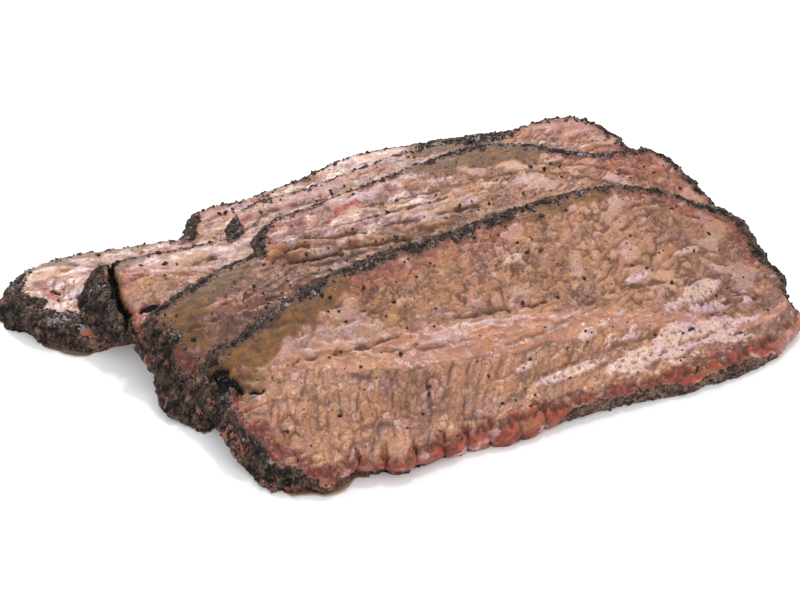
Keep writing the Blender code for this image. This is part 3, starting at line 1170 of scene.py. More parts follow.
@dataclass
class BrisketSlice:
    """One slice: a fine mesh that stands for its CAD solid.  Sizes are in mm."""

    node: str
    seed: int
    face_step: float = 0.5  # between points of the cut face where it shows
    hidden_step: float = 4.0  # where another slice lies on it
    loop_step: float = 0.55  # between points along the rim
    rim_rows: int = 17
    under_step: float = 5.0  # between points of the underside
    tuck: float = 2.2  # how far in from the foot the plain underside starts
    cover: float = 5.0  # in from the edge of the slice above, where nothing shows any more
    hidden_drop: float = 0.3  # that the hidden part of the face lies lower
    edge_round: float = 2.4  # over which the cut face rounds off into the rim
    edge_drop: float = 1.5
    litter_reach: tuple[float, float] = (12.0, 27.0)  # from the slice above, where crumbs thin out
    full_stand: float = 2.4  # of the front side's bundles, where they hang over most
    least_depth: float = 8.0  # of the slice, near the ends of its outline
    column: float = 6.2  # width of the flat muscle's columns
    end_width: float = 10.5  # of the bundles that stand out of the front side
    thin_lump: tuple[float, float] = (8.0, 7.0)  # along and across, at the flat muscle's thin end
    bundle: tuple[float, float] = (3.6, 8.5)  # of the flat muscle
    bundle_lump: tuple[float, float] = (2.5, 3.2)  # on a bundle
    ridge: tuple[float, float] = (12.0, 4.4)  # of the point muscle
    ridge_lump: tuple[float, float] = (3.6, 2.5)  # on a ridge
    ridge_grain: tuple[float, float] = (1.7, 1.4)  # on a lump
    red_knob: tuple[float, float] = (4.2, 3.4)  # of the red flesh at the front side
    wet_patch: float = 12.0
    stray: float = 1.3  # bits of bark on the face beside the crust
    crust_grains: tuple[float, float, float] = (3.4, 1.5, 0.9)  # clumps, grains and dust
    rim_lump: float = 3.0  # of the bare meat on the rim

    def __post_init__(self) -> None:
        """Measures the solid and draws its ragged outline."""
        self.anatomy = ANATOMY[self.node]
        self.probe = SolidProbe(self.node)
        self.length = np.array((self.probe.face.points[:, 0].min(), self.probe.face.points[:, 0].max()))
        self._roughen()

    def shares(self, points: Array) -> tuple[Array, Array, Array]:
        """Where points lie on the slice.

        Args:
            points: points in plan.

        Returns:
            The share of the length, the share of the depth and the depth in mm.
        """
        share = (points[:, 0] - self.length[0]) / (self.length[1] - self.length[0])
        front, back = self.probe.face.sides(points[:, 0])
        depth = np.maximum(back - front, self.least_depth)
        return share, (points[:, 1] - front) / depth, depth

    def placed(self, share: float, rise: float) -> tuple[float, float]:
        """The point in plan at shares of the length and of the depth.

        Args:
            share: share of the length.
            rise: share of the depth.

        Returns:
            Its x and y in mm.
        """
        x = self.length[0] + share * (self.length[1] - self.length[0])
        front, back = self.probe.face.sides(np.array([x]))
        return x, float(front[0] + rise * (back[0] - front[0]))

    def _roughen(self) -> None:
        """Makes the outline ragged, with the flat muscle's bundle ends standing out in front."""
        foot = self.probe.foot.resampled(self.loop_step).smoothed(1.0)
        slant = self.probe.slant(foot)
        normal = evened(foot.outward(), 8)
        points = foot.points - slant
        share, rise, _ = self.shares(points)
        uneven = 0.7 * lumps(points, 7.0, self.seed + 1) + 0.55 * lumps(points, 2.6, self.seed + 2)
        uneven += 0.25 * lumps(points, 1.3, self.seed + 4)
        ends = np.maximum(ramp(share, 0.10, 0.0), ramp(share, 0.88, 0.97))
        uneven *= 1.0 + 0.9 * ends
        uneven += 0.9 * ends * lumps(points, 11.0, self.seed + 5)
        in_front = ramp(rise, 0.5, 0.2)
        stand = along(self.anatomy.bundle_ends, share) * in_front
        border, bundle = self.bundle_cells(points)
        scallop = stand * ((0.5 + 1.1 * bundle) * dome(border, 1.2) - 0.9)
        scallop -= 0.5 * stand * bell(border, 0.8)
        offset = uneven * (1.0 - 0.6 * in_front * self.hang(share)) + scallop
        face_bulge, foot_bulge, self.torn = np.zeros((3, len(points)))
        for bulge in self.anatomy.bulges:
            near = np.exp(-(((points - bulge.middle) / bulge.reach) ** 2).sum(axis=1))
            face_bulge += bulge.face * near
            foot_bulge += bulge.foot * near
            self.torn += bulge.torn * near
        self.foot_points = foot.points + (0.7 * offset + foot_bulge)[:, None] * normal
        self.tuck_points = foot.points + (foot_bulge - self.tuck)[:, None] * normal
        self.face = Outline(points + (offset + face_bulge)[:, None] * normal)

    def hang(self, share: Array) -> Array:
        """How far the front side's bundles stand out over what is below them, from 0 to 1."""
        return np.clip(along(self.anatomy.bundle_ends, share) / self.full_stand, 0.0, 1.0)

    def bundle_cells(self, points: Array) -> tuple[Array, Array]:
        """Distance in mm to the next gap between the bundles that stand out in front, and a number."""
        _, border, bundle = cells_of(self.across(points)[:, None] / self.end_width, self.seed + 3)
        return border * self.end_width, bundle

    def across(self, points: Array) -> Array:
        """Distance across the flat muscle's bundles, which lean right towards the back.

        Args:
            points: points in plan.

        Returns:
            The distance in mm, from the middle of the frame.
        """
        share, rise, depth = self.shares(points)
        lean = 0.32 + 0.55 * ramp(share, 0.15, 0.6)
        return points[:, 0] - lean * rise * depth

    # -- Cut face

    def beside(self, points: Array, above: Slices) -> Array:
        """How near points lie to the slices on top, where crumbs and juice gather and painted shade falls,
        from 0 to 1.

        Args:
            points: points in plan.
            above: the slices that lie on this one.

        Returns:
            The nearness of each point.
        """
        share, _, _ = self.shares(points)
        near = np.zeros(len(points))
        full, end = self.litter_reach
        for other in above:
            away = -other.face.resampled(2.5).inner_distance(points)
            near = np.maximum(near, ramp(away, end, full))
        return self.anatomy.littered * near * ramp(share, 0.08, 0.16) * ramp(share, 0.72, 0.55)

    def face_fields(self, points: Array, above: Slices) -> tuple[Array, dict[Mask, Array]]:
        """Relief and tissues of the cut face.

        Args:
            points: points in plan, in mm.
            above: the slices that lie on this one.

        Returns:
            The height of the relief in mm, and each tissue's share.
        """
        seed, anatomy = self.seed, self.anatomy
        share, rise, depth = self.shares(points)
        edge = self.face.resampled(1.5).inner_distance(points)
        wander = lumps(points, 16.0, seed + 10)
        ragged = layered(points, 4.0, 3, seed + 11)
        # The two muscles and the fat seam between them.
        seam_gap = (rise - along(anatomy.seam, share)) * depth + 1.2 * wander + 0.5 * ragged
        half = along(anatomy.seam_width, share) / 2.0
        flat = ramp(seam_gap + half, 0.4, -0.4)
        point = ramp(seam_gap - half + 1.5 * ragged, -1.5, 2.5)
        seam = np.clip(1.0 - flat - point, 0.0, 1.0)
        parts = (
            (flat, self._flat_muscle(points, -seam_gap - half, share)),
            (point, self._point_muscle(points, share)),
            (seam, self._fat_seam(points, seam_gap)),
        )
        # furrow is painted shade and pale is painted highlight, besides the pale fat of the point muscle's
        # pools.
        relief, tint, furrow, pale = (sum(w * part[k] for w, part in parts) for k in range(4))
        relief = (relief + 0.4) * anatomy.coarse - 0.4

        masks = {mask: np.zeros(len(points)) for mask in Mask}
        masks[Mask.POINT] = point
        masks[Mask.SEAM] = seam
        masks[Mask.RENDERED] = point * ramp(lumps(points, 4.0, seed + 14) - 0.3 * share, 0.05, 0.6)
        dull = along(anatomy.dull, share) + 0.45 * lumps(points, 13.0, seed + 15) + 0.2 * ragged
        masks[Mask.DULL] = ramp(dull, 0.25, 0.75) * (1.0 - 0.6 * seam)
        # Fat cap, smooth and faintly streaked, and the smoke ring in from it.
        back_side = ramp(rise, 0.42, 0.58)
        border = 1.2 * ragged + 1.2 * wander
        cap_depth = along(anatomy.cap, share)
        cap = ramp(cap_depth - edge + border, -1.0, 1.0) * back_side
        cap *= ramp(cap_depth * (1.0 + 0.6 * ragged), 0.3, 3.5)
        streaks = lumps(points * (0.22, 1.0), 1.6, seed + 12)
        relief = relief * (1.0 - 0.9 * cap) + cap * 0.16 * streaks
        furrow *= 1.0 - 0.8 * cap
        pale *= 1.0 - cap
        ring_depth = along(anatomy.ring, share)
        ring = ramp(ring_depth - edge + 2.6 * ragged + 1.5 * wander, -2.5, 3.0) * back_side
        ring *= ramp(ring_depth, 0.5, 3.0) * (0.45 + 0.55 * ramp(ragged, -0.4, 0.4)) * (1.0 - cap)
        masks[Mask.CAP] = cap
        masks[Mask.RING] = ring
        # Red front side, with its knobs and the gaps between its bundles, painted dark as shade in the gaps.
        red_depth = along(anatomy.red, share)
        red = ramp(red_depth - edge + 2.0 * ragged, -1.4, 1.4) * ramp(rise, 0.6, 0.4)
        bloody = ramp(lumps(points, 9.0, seed + 13) + 0.5 * ragged, -0.5, 0.1)
        masks[Mask.RED] = red * ramp(red_depth, 0.5, 2.0) * (0.2 + 0.8 * bloody)
        hang = self.hang(share) * ramp(rise, 0.5, 0.3)
        border, bundle = self.bundle_cells(points)
        split = hang * bell(border, 0.5) * ramp(edge, 3.0 + 7.0 * bundle, 1.0)
        relief -= 1.8 * split
        furrow = np.maximum(furrow, split)
        knob, knob_size = packed(points, self.red_knob, seed + 30, 0.4)
        relief += red * (1.7 * (0.3 + 0.7 * knob_size) * dome(knob, 0.7) - 0.8)
        furrow = np.maximum(furrow, red * bell(knob, 0.4))
        tint += 0.5 * red * (knob_size - 0.5)

        # Flat wet patches, painted pale as a sheen with painted shade in their pits, and a thin film of pale
        # fat with painted sheen.
        scab_share = along(anatomy.scabs, share) * ramp(rise + 0.04 * ragged, 0.44, 0.30)
        turned = points @ np.array(((1.0, -0.5), (0.3, 2.1)))
        patches = layered(turned, self.wet_patch, 4, seed + 16)
        scabs = ramp(patches - 0.95 + 0.85 * scab_share, 0.0, 0.10) * ramp(edge, 2.0, 5.0)
        for patch in anatomy.plateaus:
            gap = (points - self.placed(*patch.middle)) / (patch.length / 2.0, patch.width / 2.0)
            reach = np.hypot(gap[:, 0] - 0.5 * gap[:, 1], gap[:, 1]) + 0.3 * ragged
            scabs = np.maximum(scabs, ramp(reach, 1.12, 0.95))
        pits = ramp(lumps(points, 1.7, seed + 17), 0.25, 0.5)
        relief = relief * (1.0 - 0.85 * scabs) + scabs * (0.45 - 0.35 * pits)
        pale = np.maximum(pale * (1.0 - scabs), scabs * (0.78 - 0.5 * pits))
        furrow = furrow * (1.0 - scabs) + 0.5 * scabs * pits
        pallor = along(anatomy.pallor, share)
        film = ramp(layered(points * (0.3, 1.0), 4.5, 3, seed + 18), 0.5 - 1.6 * pallor, 1.0 - pallor)
        film *= np.minimum(1.0, 0.45 + pallor) * ramp(pallor, 0.0, 0.05)
        relief *= 1.0 - 0.5 * film
        pale = np.maximum(pale, film * (1.0 - 0.8 * cap) * (1.0 - 0.6 * furrow) * (1.0 - 0.5 * ring))
        # Crumbs and juice beside the slice above, and painted shade there: darker and less pale.
        litter_and_shade = self.beside(points, above)
        furrow = np.maximum(furrow, 0.8 * litter_and_shade * ramp(layered(points, 3.5, 3, seed + 29), -0.3, 0.2))
        pale *= 1.0 - 0.9 * litter_and_shade
        tint *= 1.0 - 0.4 * litter_and_shade
        masks[Mask.FURROW] = furrow
        masks[Mask.PALE_AND_SHEEN] = pale
        relief = self._strokes(points, relief, masks)

        # Bark, the bits that strayed from it and its stain.
        bark_depth = along(anatomy.bark_back, share) * back_side
        bark_depth += along(anatomy.bark_front, share) * (1.0 - back_side)
        bark_depth *= 0.65 + 0.7 * ramp(layered(points, 11.0, 3, seed + 19), -0.45, 0.45)
        bark_depth += 0.9 * ragged * ramp(bark_depth, 0.0, 2.0)
        bark = ramp(bark_depth - edge, -0.3, 0.3)
        specks, chance = packed(points, (self.stray, self.stray), seed + 27)
        stray = ramp(edge - bark_depth, 4.0, 0.0) * ramp(bark_depth, 0.0, 1.5)
        bark = np.maximum(bark, ramp(chance - 1.0 + 0.55 * stray**2, 0.0, 0.05) * ramp(specks, 0.05, 0.25))
        stain = ramp(edge - bark_depth + 0.8 * ragged, 3.2, -0.5) * ramp(bark_depth, 0.0, 1.5)
        masks[Mask.FURROW] = np.maximum(masks[Mask.FURROW], 0.75 * stain * (1.0 - pallor))
        masks[Mask.PALE_AND_SHEEN] *= 1.0 - 0.7 * stain * (1.0 - pallor)
        gappy = layered(points, 4.0, 3, seed + 28) - 0.9 * pallor * ramp(share, 0.05, 0.12)
        solid = np.maximum(ramp(along(anatomy.bark_back, share), 3.0, 4.0), 1.0 - back_side)
        bark *= np.maximum(ramp(gappy, -1.1, -0.8), solid)
        open_crack = ramp(masks[Mask.CREVICE], 0.3, 0.7)
        bark *= 1.0 - open_crack
        crust, grain_rise = self._crust(points)
        relief = relief * (1.0 - bark) + bark * (0.3 + 1.3 * crust)
        relief += 0.5 * ramp(bark_depth - edge, -1.5, 1.5) * bark
        rounding = np.clip(1.0 - edge / self.edge_round, 0.0, 1.0)
        relief -= self.edge_drop * rounding**2.2
        # What is wet, and how light each bundle is; under the painted sheen the tone moves towards an even
        # light one as a painted highlight, and the cap is darker.
        wet = np.maximum(0.9 * masks[Mask.PALE_AND_SHEEN], 0.25 * cap)
        wet = np.maximum(wet, seam * ramp(ragged, -0.3, 0.4))
        wet = np.maximum(wet, 0.7 * masks[Mask.RED] * knob_size)
        tint = tint + 0.7 * masks[Mask.PALE_AND_SHEEN] * (0.62 + 0.25 * pallor - tint)
        tint *= 1.0 - (0.35 + 0.3 * anatomy.littered) * cap
        # On the bark, raised grains are painted light and pits painted shade; open cracks are painted black
        # as shade.
        masks[Mask.TINT] = (tint * (1.0 - bark) + grain_rise * bark) * (1.0 - open_crack)
        masks[Mask.WET] = wet * (1.0 - bark)
        # On the bark this mask lays salt and ash with painted glints, more where the face has painted sheen.
        masks[Mask.PALE_AND_SHEEN] = masks[Mask.PALE_AND_SHEEN] * (1.0 - bark) + (0.6 + 0.4 * pallor) * bark
        masks[Mask.PALE_AND_SHEEN] *= 1.0 - open_crack
        masks[Mask.BARK] = bark
        return relief, {mask: np.clip(values, 0.0, 1.0) for mask, values in masks.items()}

    def _strokes(self, points: Array, relief: Array, masks: dict[Mask, Array]) -> Array:
        """Lays the anatomy's folds, furrows and cracks over the cut face.

        Args:
            points: points in plan.
            relief: height of the relief so far, in mm.
            masks: each tissue's share, which is changed where a stroke paints.

        Returns:
            The height of the relief with the strokes, in mm.
        """
        shift = [layered(points, 5.0, 3, self.seed + k) for k in (50, 51)]
        warped = points + 1.1 * np.stack(shift, axis=1)
        torn = lumps(points, 6.0, self.seed + 53)
        swell = 0.7 + 0.6 * ramp(lumps(points, 4.0, self.seed + 52), -0.5, 0.5)
        for stroke in self.anatomy.strokes:
            line = np.array([self.placed(*knot) for knot in stroke.line])
            gap = line_distance(warped, line) / (stroke.width * swell)
            broken = 1.0 if stroke.height < -1.0 else 0.25 + 0.75 * ramp(torn, -0.35, 0.1)
            profile = np.exp(-(gap**2)) * broken
            if stroke.height > 0:
                relief = relief * (1.0 - 0.7 * profile)
            relief = relief + stroke.height * profile
            painted = stroke.strength * ramp(gap, 1.35, 0.6) * broken
            for mask in (Mask.PALE_AND_SHEEN, Mask.FURROW, Mask.CREVICE):
                masks[mask] = masks[mask] * (1.0 - painted)
            masks[stroke.paint] = np.maximum(masks[stroke.paint], painted)
        return relief

    def _flat_muscle(self, points: Array, below_seam: Array, share: Array) -> tuple[Array, ...]:
        """Columns of fibre bundles that run from the seam to the front side.

        Args:
            points: points in plan.
            below_seam: distance below the seam's lower edge.
            share: share of the slice's length.

        Returns:
            Relief in mm, tint of each bundle, share of the painted shade in the cracks and low places and of
            the painted highlights on the wet lump tops.
        """
        seed = self.seed + 20
        bend = 1.3 * lumps(points, 12.0, seed) + 0.5 * lumps(points, 3.5, seed + 1)
        place = np.stack((self.across(points) + bend, points[:, 1]), axis=1)
        _, column, column_tint = cells_of(place / (self.column, 4.0 * self.column), seed + 2)
        big, big_tint = packed(place, self.thin_lump, seed + 3)
        thin_end = ramp(share, 0.12, 0.07)
        column = column * self.column * (1.0 - thin_end) + big * thin_end
        column = np.minimum(column, np.maximum(below_seam, 0.0))
        split = ramp(lumps(points, 8.0, seed + 4), -0.45, 0.35) * ramp(share, 0.62, 0.35)
        bundle, bundle_tint = packed(place, self.bundle, seed + 5, 0.35)
        lump, lump_tint = packed(place, self.bundle_lump, seed + 6, 0.35)
        relief = (0.15 + 0.55 * split) * dome(column, 0.9)
        relief += 0.50 * (0.3 + 0.7 * bundle_tint) * dome(bundle, 0.45)
        relief += 0.50 * (0.2 + 0.8 * lump_tint) * dome(lump, 0.4)
        relief += 0.12 * layered(points, 1.1, 2, seed + 7) + 0.3 * layered(points, 8.0, 2, seed + 8)
        # Painted shade: dark in the cracks between columns, bundles and lumps.
        crack = split * bell(column, 0.15 + 0.3 * split)
        crack = np.maximum(crack, 0.8 * ramp(bundle_tint, 0.45, 0.75) * bell(bundle, 0.28))
        crack = np.maximum(crack, 0.5 * ramp(lump_tint, 0.4, 0.7) * bell(lump, 0.28))
        # Painted shade in the low places.
        low = ramp(relief, 0.50, 0.15)
        tint = 0.3 * column_tint * (1.0 - thin_end) + 0.3 * thin_end * big_tint
        tint += 0.35 * bundle_tint + 0.35 * lump_tint
        # Painted highlight on the tops of the palest lumps.
        pale = ramp(lump_tint, 0.80, 0.95) * ramp(lump, 0.1, 0.5) * 0.45
        return relief - 0.85, tint, np.maximum(crack, 0.6 * low), pale

    def _point_muscle(self, points: Array, share: Array) -> tuple[Array, ...]:
        """Lumps and long ridges of coarse fibres, with smooth pools of fat between them.

        Args:
            points: points in plan.
            share: share of the slice's length.

        Returns:
            Relief in mm, tint of each lump, share of the painted shade in furrows and low places, and of the
            painted highlights on lump tops with the pale fat of the pools.
        """
        seed = self.seed + 30
        angle = math.radians(4.0) + math.radians(14.0) * ramp(share, 0.3, 0.9)
        calm = 1.0 - 0.6 * self.anatomy.drawn_out
        run = calm * (points[:, 0] * np.cos(angle) + points[:, 1] * np.sin(angle))
        side = points[:, 1] * np.cos(angle) - points[:, 0] * np.sin(angle)
        place = np.stack((run, side + 1.8 * lumps(points, 9.0, seed)), axis=1)
        ridge, ridge_tint = packed(place, self.ridge, seed + 1, 0.5)
        lump, lump_tint = packed(place, self.ridge_lump, seed + 3, 0.5)
        grain, grain_tint = packed(place, self.ridge_grain, seed + 5, 0.4)
        ridged = ramp(lumps(points, 15.0, seed + 7), -0.2, 0.45)
        pooled = layered(points * (0.6 * calm, 1.0), 11.0, 3, seed + 8) + 0.4 * self.anatomy.drawn_out
        pools = ramp(pooled, 0.34, 0.50)
        relief = 0.6 * ridged * dome(ridge, 0.8) + 0.62 * (0.15 + 0.85 * lump_tint) * dome(lump, 0.5)
        relief += 0.50 * (0.2 + 0.8 * grain_tint) * dome(grain, 0.28)
        relief += 0.12 * layered(points, 1.2, 2, seed + 9)
        # Painted shade in the gaps between ridges and in low places.
        furrow = 0.9 * ridged * ramp(ridge_tint, 0.3, 0.6) * bell(ridge, 0.35)
        furrow = np.maximum(furrow, 0.75 * ramp(relief, 0.38, 0.12))
        bumpy = 1.0 - 0.88 * pools
        relief = relief * bumpy + 0.62 * pools + 0.4 * layered(points, 14.0, 2, seed + 10) - 0.85
        # Painted highlight on the tops of the palest lumps; the pools are pale fat.
        pale = ramp(lump_tint, 0.72, 0.95) * ramp(lump, 0.1, 0.7) * 0.55
        pale = np.maximum(pale, 0.35 * pools)
        tint = 0.25 * ridge_tint + 0.4 * lump_tint + 0.35 * grain_tint
        return relief, tint * bumpy + 0.62 * pools, furrow * bumpy, pale * (0.5 + 0.5 * ridged)

    def _fat_seam(self, points: Array, seam_gap: Array) -> tuple[Array, ...]:
        """Smooth soft fat with a few long ripples, wet on top.

        Args:
            points: points in plan.
            seam_gap: distance above the seam's middle.

        Returns:
            Relief in mm, tint, share of the painted shade in the troughs and of the painted highlights on the
            crests.
        """
        seed = self.seed + 40
        bent = seam_gap + 1.5 * lumps(points, 12.0, seed + 3)
        stretched = np.stack((points[:, 0] / 11.0, bent / 2.4), axis=1)
        fold = lumps(stretched, 1.0, seed)
        ripple = 1.0 - 2.2 * np.abs(fold)
        upper = ramp(seam_gap, -4.0, 2.5)
        relief = 0.5 * ripple * upper + 0.25 * lumps(points, 6.0, seed + 1)
        relief += 0.10 * layered(points, 1.6, 2, seed + 2)
        # Painted highlight on the ripples' crests, painted shade in their troughs.
        pale = 0.8 * ramp(ripple + 0.5 * lumps(points, 3.0, seed + 4), 0.75, 1.05) * (0.3 + 0.7 * upper)
        furrow = 0.6 * ramp(ripple, -0.25, -0.75) * upper
        return relief - 0.15, 0.55 + 0.25 * lumps(points, 4.0, seed + 5), furrow, pale

    def _crust(self, points: Array) -> tuple[Array, Array]:
        """Bark: clumps and granules of spice and char.

        Args:
            points: points in plan or in space.

        Returns:
            Relief in mm, and how high a point stands out of the pits, from 0 to 1.
        """
        clumps, grains, dust = ([size] * points.shape[1] for size in self.crust_grains)
        clump, clump_size = packed(points, clumps, self.seed + 60, 0.4)
        grain, grain_size = packed(points, grains, self.seed + 64, 0.4)
        fine, fine_size = packed(points, dust, self.seed + 68, 0.3)
        crust = 0.8 * clump_size * dome(clump, 0.8)
        crust += 0.6 * (0.2 + 0.8 * grain_size) * dome(grain, 0.35)
        crust += 0.3 * fine_size * dome(fine, 0.2)
        patches = 0.3 * layered(points, 5.0, 2, self.seed + 72)
        return crust - 0.75, np.clip(crust / 1.3 + patches, 0.0, 1.0)

    # -- Mesh

    def lattice(self, step: float, outline: Outline, inset: float) -> Array:
        """Points of a triangular lattice inside an outline, shaken a little off their places.

        Args:
            step: distance between neighbouring points.
            outline: what they lie inside.
            inset: how far inside it they stay.

        Returns:
            The points in plan.
        """
        low, high = outline.points.min(axis=0) / step, outline.points.max(axis=0) / step
        columns = np.arange(math.floor(low[0]), high[0] + 1)
        rows = np.arange(math.floor(low[1] / ROW), high[1] / ROW + 1)
        column, row = np.meshgrid(columns, rows)
        x = (column + 0.5 * (row % 2)) * step + 0.25 * step * (hashed(5, column, row) - 0.5)
        y = row * step * ROW + 0.25 * step * (hashed(6, column, row) - 0.5)
        grid = np.stack((x.ravel(), y.ravel()), axis=1)
        return grid[outline.resampled(1.2).inner_distance(grid) > inset]

    def covered(self, points: Array, above: Slices) -> Array:
        """Whether each point is hidden under a slice that lies on this one.

        Args:
            points: points in plan.
            above: the slices that lie on this one.

        Returns:
            True or false for each point.
        """
        hidden = np.zeros(len(points), bool)
        for other in above:
            hidden |= other.probe.foot.resampled(3.0).inner_distance(points) > self.cover
        return hidden

    @staticmethod
    def filled(loop: Array, inner: Array) -> Array:
        """Triangles that fill a loop of points, with further points inside it.

        Args:
            loop: the points round the area, in order.
            inner: the points inside it.

        Returns:
            The triangles, as places in the loop's points followed by the inner ones.
        """
        plan = [Vector(p) for p in np.concatenate((loop, inner))]
        border = [list(range(len(loop)))]
        _, _, triangles, origins, _, _ = delaunay_2d_cdt(plan, [], border, 1, 1e-6)
        place = np.array([found[0] for found in origins])
        return place[np.array(triangles)]

    def build(self, above: Slices, beef: Material, crust: Material) -> Piece:
        """Makes the slice's object.

        Args:
            above: the slices that lie on this one.
            beef: finish of the cut meat.
            crust: finish of the bark.

        Returns:
            The object, riding on the body and standing for its node.
        """
        loop = self.face.points
        count = len(loop)
        fine = self.lattice(self.face_step, self.face, 0.35)
        coarse = self.lattice(self.hidden_step, self.face, 2.0)
        inner = np.concatenate((fine[~self.covered(fine, above)], coarse[self.covered(coarse, above)]))
        face_triangles = self.filled(loop, inner)
        plan = np.concatenate((loop, inner))
        relief, masks = self.face_fields(plan, above)
        shown = ~self.covered(plan, above)
        relief = np.where(shown, relief, -self.hidden_drop)
        face_points = np.column_stack((plan, self.probe.top(plan) + relief))

        # Rows of the rim, and the tuck under the foot.
        rim_points, rim_masks = self._rim(face_points[:count])
        ring = np.arange(count)
        quads = []
        for row in range(self.rim_rows):
            upper = ring if row == 0 else len(plan) + (row - 1) * count + ring
            lower = len(plan) + row * count + ring
            quads.append(np.stack((upper, lower, np.roll(lower, -1), np.roll(upper, -1)), axis=1))
        tuck_start = len(plan) + self.rim_rows * count
        foot = tuck_start - count + ring
        tuck = tuck_start + ring
        quads.append(np.stack((foot, tuck, np.roll(tuck, -1), np.roll(foot, -1)), axis=1))
        # Plain underside.
        under = self.lattice(self.under_step, Outline(self.tuck_points), 2.0)
        under_triangles = self.filled(self.tuck_points, under)[:, ::-1] + tuck_start
        under = np.concatenate((self.tuck_points, under))
        under_points = np.column_stack((under, np.maximum(self.probe.bottom(under), 0.0)))
        points = np.concatenate((face_points, rim_points, under_points))
        parts = (face_triangles, np.concatenate(quads), under_triangles)
        faces = [face for part in parts for face in part.tolist()]
        piece = placed_piece(f"{self.node}_meat", points, faces, beef, crust)
        piece.data.shade_smooth()
        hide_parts(self.node)
        # Masks, and which faces the bark's finish covers.
        hidden_under = np.zeros(len(under_points))
        whole = {m: np.concatenate((masks[m], rim_masks[m], hidden_under)) for m in Mask}
        self.bark = whole.pop(Mask.BARK)
        for mask, values in whole.items():
            layer = piece.data.attributes.new(mask.value, "FLOAT", "POINT")
            layer.data.foreach_set("value", values.astype(np.float32))
        self.points = points
        # Faces of deep cracks take the bark's near-black finish as painted shade.
        crusted = (self.bark > 0.5) | (whole[Mask.CREVICE] > 0.6)
        crusted[tuck_start:] = True
        crusts = np.concatenate([crusted[part].mean(axis=1) > 0.5 for part in parts])
        piece.data.polygons.foreach_set("material_index", crusts.astype(np.int32))
        # What the loose grains need to know.
        rim_shown = ~self.covered(rim_points[:, :2], above)
        self.shown = np.concatenate((shown, rim_shown, hidden_under > 0))
        self.on_face = np.arange(len(points)) < len(plan)
        normals = np.empty(len(points) * 3, np.float32)
        piece.data.vertex_normals.foreach_get("vector", normals)
        self.normals = normals.reshape(-1, 3).astype(float)
        log.info("%s: %d points, %d faces", self.node, len(points), len(faces))
        return piece

    def _rim(self, top: Array) -> tuple[Array, dict[Mask, Array]]:
        """The rim, in rows from the cut face down to the foot.

        Args:
            top: the points where the cut face ends.

        Returns:
            The points of the rows below the face, and each tissue's share on them.
        """
        seed = self.seed + 70
        outward = self.face.outward()
        share, rise, _ = self.shares(top[:, :2])
        in_front = ramp(rise, 0.45, 0.2) * ramp(share, 0.05, 0.10) * ramp(share, 1.0, 0.96)
        wall = 1.0 - in_front
        reach = np.maximum(along(self.anatomy.red_rim, share), 0.1)
        hang = self.hang(share)
        # Painted shade in the gaps between the front bundle ends, laid with the crevice mask.
        gap = hang * in_front * bell(self.bundle_cells(top[:, :2])[0], 1.1)
        bottom = np.maximum(self.probe.bottom(self.foot_points), 0.0)
        rows, fields = [], []
        for row in range(1, self.rim_rows + 1):
            down = row / self.rim_rows
            plan = top[:, :2] * (1.0 - down) + self.foot_points * down
            height = top[:, 2] * (1.0 - down) + bottom * down
            head = (0.5 + 1.2 * hang) * bell(down - 0.4 * reach, 0.45 * reach)
            recess = 1.7 * hang * ramp(down - reach, -0.12, 0.12) * (1.0 - 0.4 * down)
            round_side = math.sin(math.pi * down**0.8)
            bulge = 1.2 * round_side * wall + in_front * (head - recess + 1.8 * round_side * (1.0 - hang))
            place = np.column_stack((plan + bulge[:, None] * outward, height))
            patchy = layered(place, 5.0, 2, seed)
            uneven = 0.14 * patchy + 0.24 * lumps(place, 15.0, seed + 6)
            red = in_front * ramp(down + uneven - reach, 0.06, -0.06)
            torn = layered(place * (1.0, 1.0, 0.6), 6.0, 4, seed + 4) + 0.4 * down
            strips = 0.9 * layered(place * (1.0, 1.0, 0.4), 2.2, 2, seed + 18)
            torn = ramp(torn + strips + 1.3 * self.torn, 1.1, 1.3) * ramp(share, 0.25, 0.1)
            crust, grain_rise = self._crust(place)
            rough = 1.2 * crust + 2.2 * wall * layered(place, 9.0, 3, seed + 8)
            lump, _ = packed(place, [self.rim_lump] * 3, seed + 14)
            soft = 0.3 * layered(place, 2.4, 2, seed + 12) + 0.8 * dome(lump, 0.6) - 0.4
            streak = layered(place * (1.0, 1.0, 0.35), 2.0, 2, seed + 16)
            soft = soft * (1.0 - torn) + (0.9 * streak - 0.8) * torn
            bare = np.maximum(red, torn)
            offset = (rough * (1.0 - bare) + soft * bare) * math.sin(math.pi * min(down, 0.88)) ** 0.5
            place[:, :2] += offset[:, None] * outward
            place[:, 2] += 0.35 * offset * wall * math.sin(math.pi * down)
            place[:, 2] = np.maximum(place[:, 2], 0.0)
            rows.append(place)
            fields.append((red, torn, patchy, gap * min(1.0, 3.0 * down), grain_rise, streak))
        red, torn, patchy, gap, grain_rise, streak = (np.concatenate(column) for column in zip(*fields))
        points = np.concatenate(rows)
        masks = {mask: np.zeros(len(points)) for mask in Mask}
        bloody = ramp(lumps(points, 9.0, seed + 10) + 0.4 * patchy, -0.45, 0.15)
        masks[Mask.RED] = np.maximum(red * (0.4 + 0.6 * bloody), torn * (0.6 + 0.4 * ramp(streak, 0.5, -0.2)))
        # Painted shade in the gaps, and in the torn meat's streaks.
        masks[Mask.CREVICE] = gap
        masks[Mask.FURROW] = torn * ramp(streak, 0.1, -0.4)
        masks[Mask.BARK] = (1.0 - red) * (1.0 - 0.75 * torn)
        meaty = np.clip(0.5 + 0.4 * patchy, 0.0, 1.0) * (1.0 - torn) + 0.25 * ramp(streak, -0.4, 1.0) * torn
        # Painted light on the bark: raised grains lighter, pits darker, and the rim's front side lighter to
        # lift its shade.
        lit = grain_rise + 0.4 * np.tile(in_front, self.rim_rows)
        masks[Mask.TINT] = meaty * (1.0 - masks[Mask.BARK]) + lit * masks[Mask.BARK]
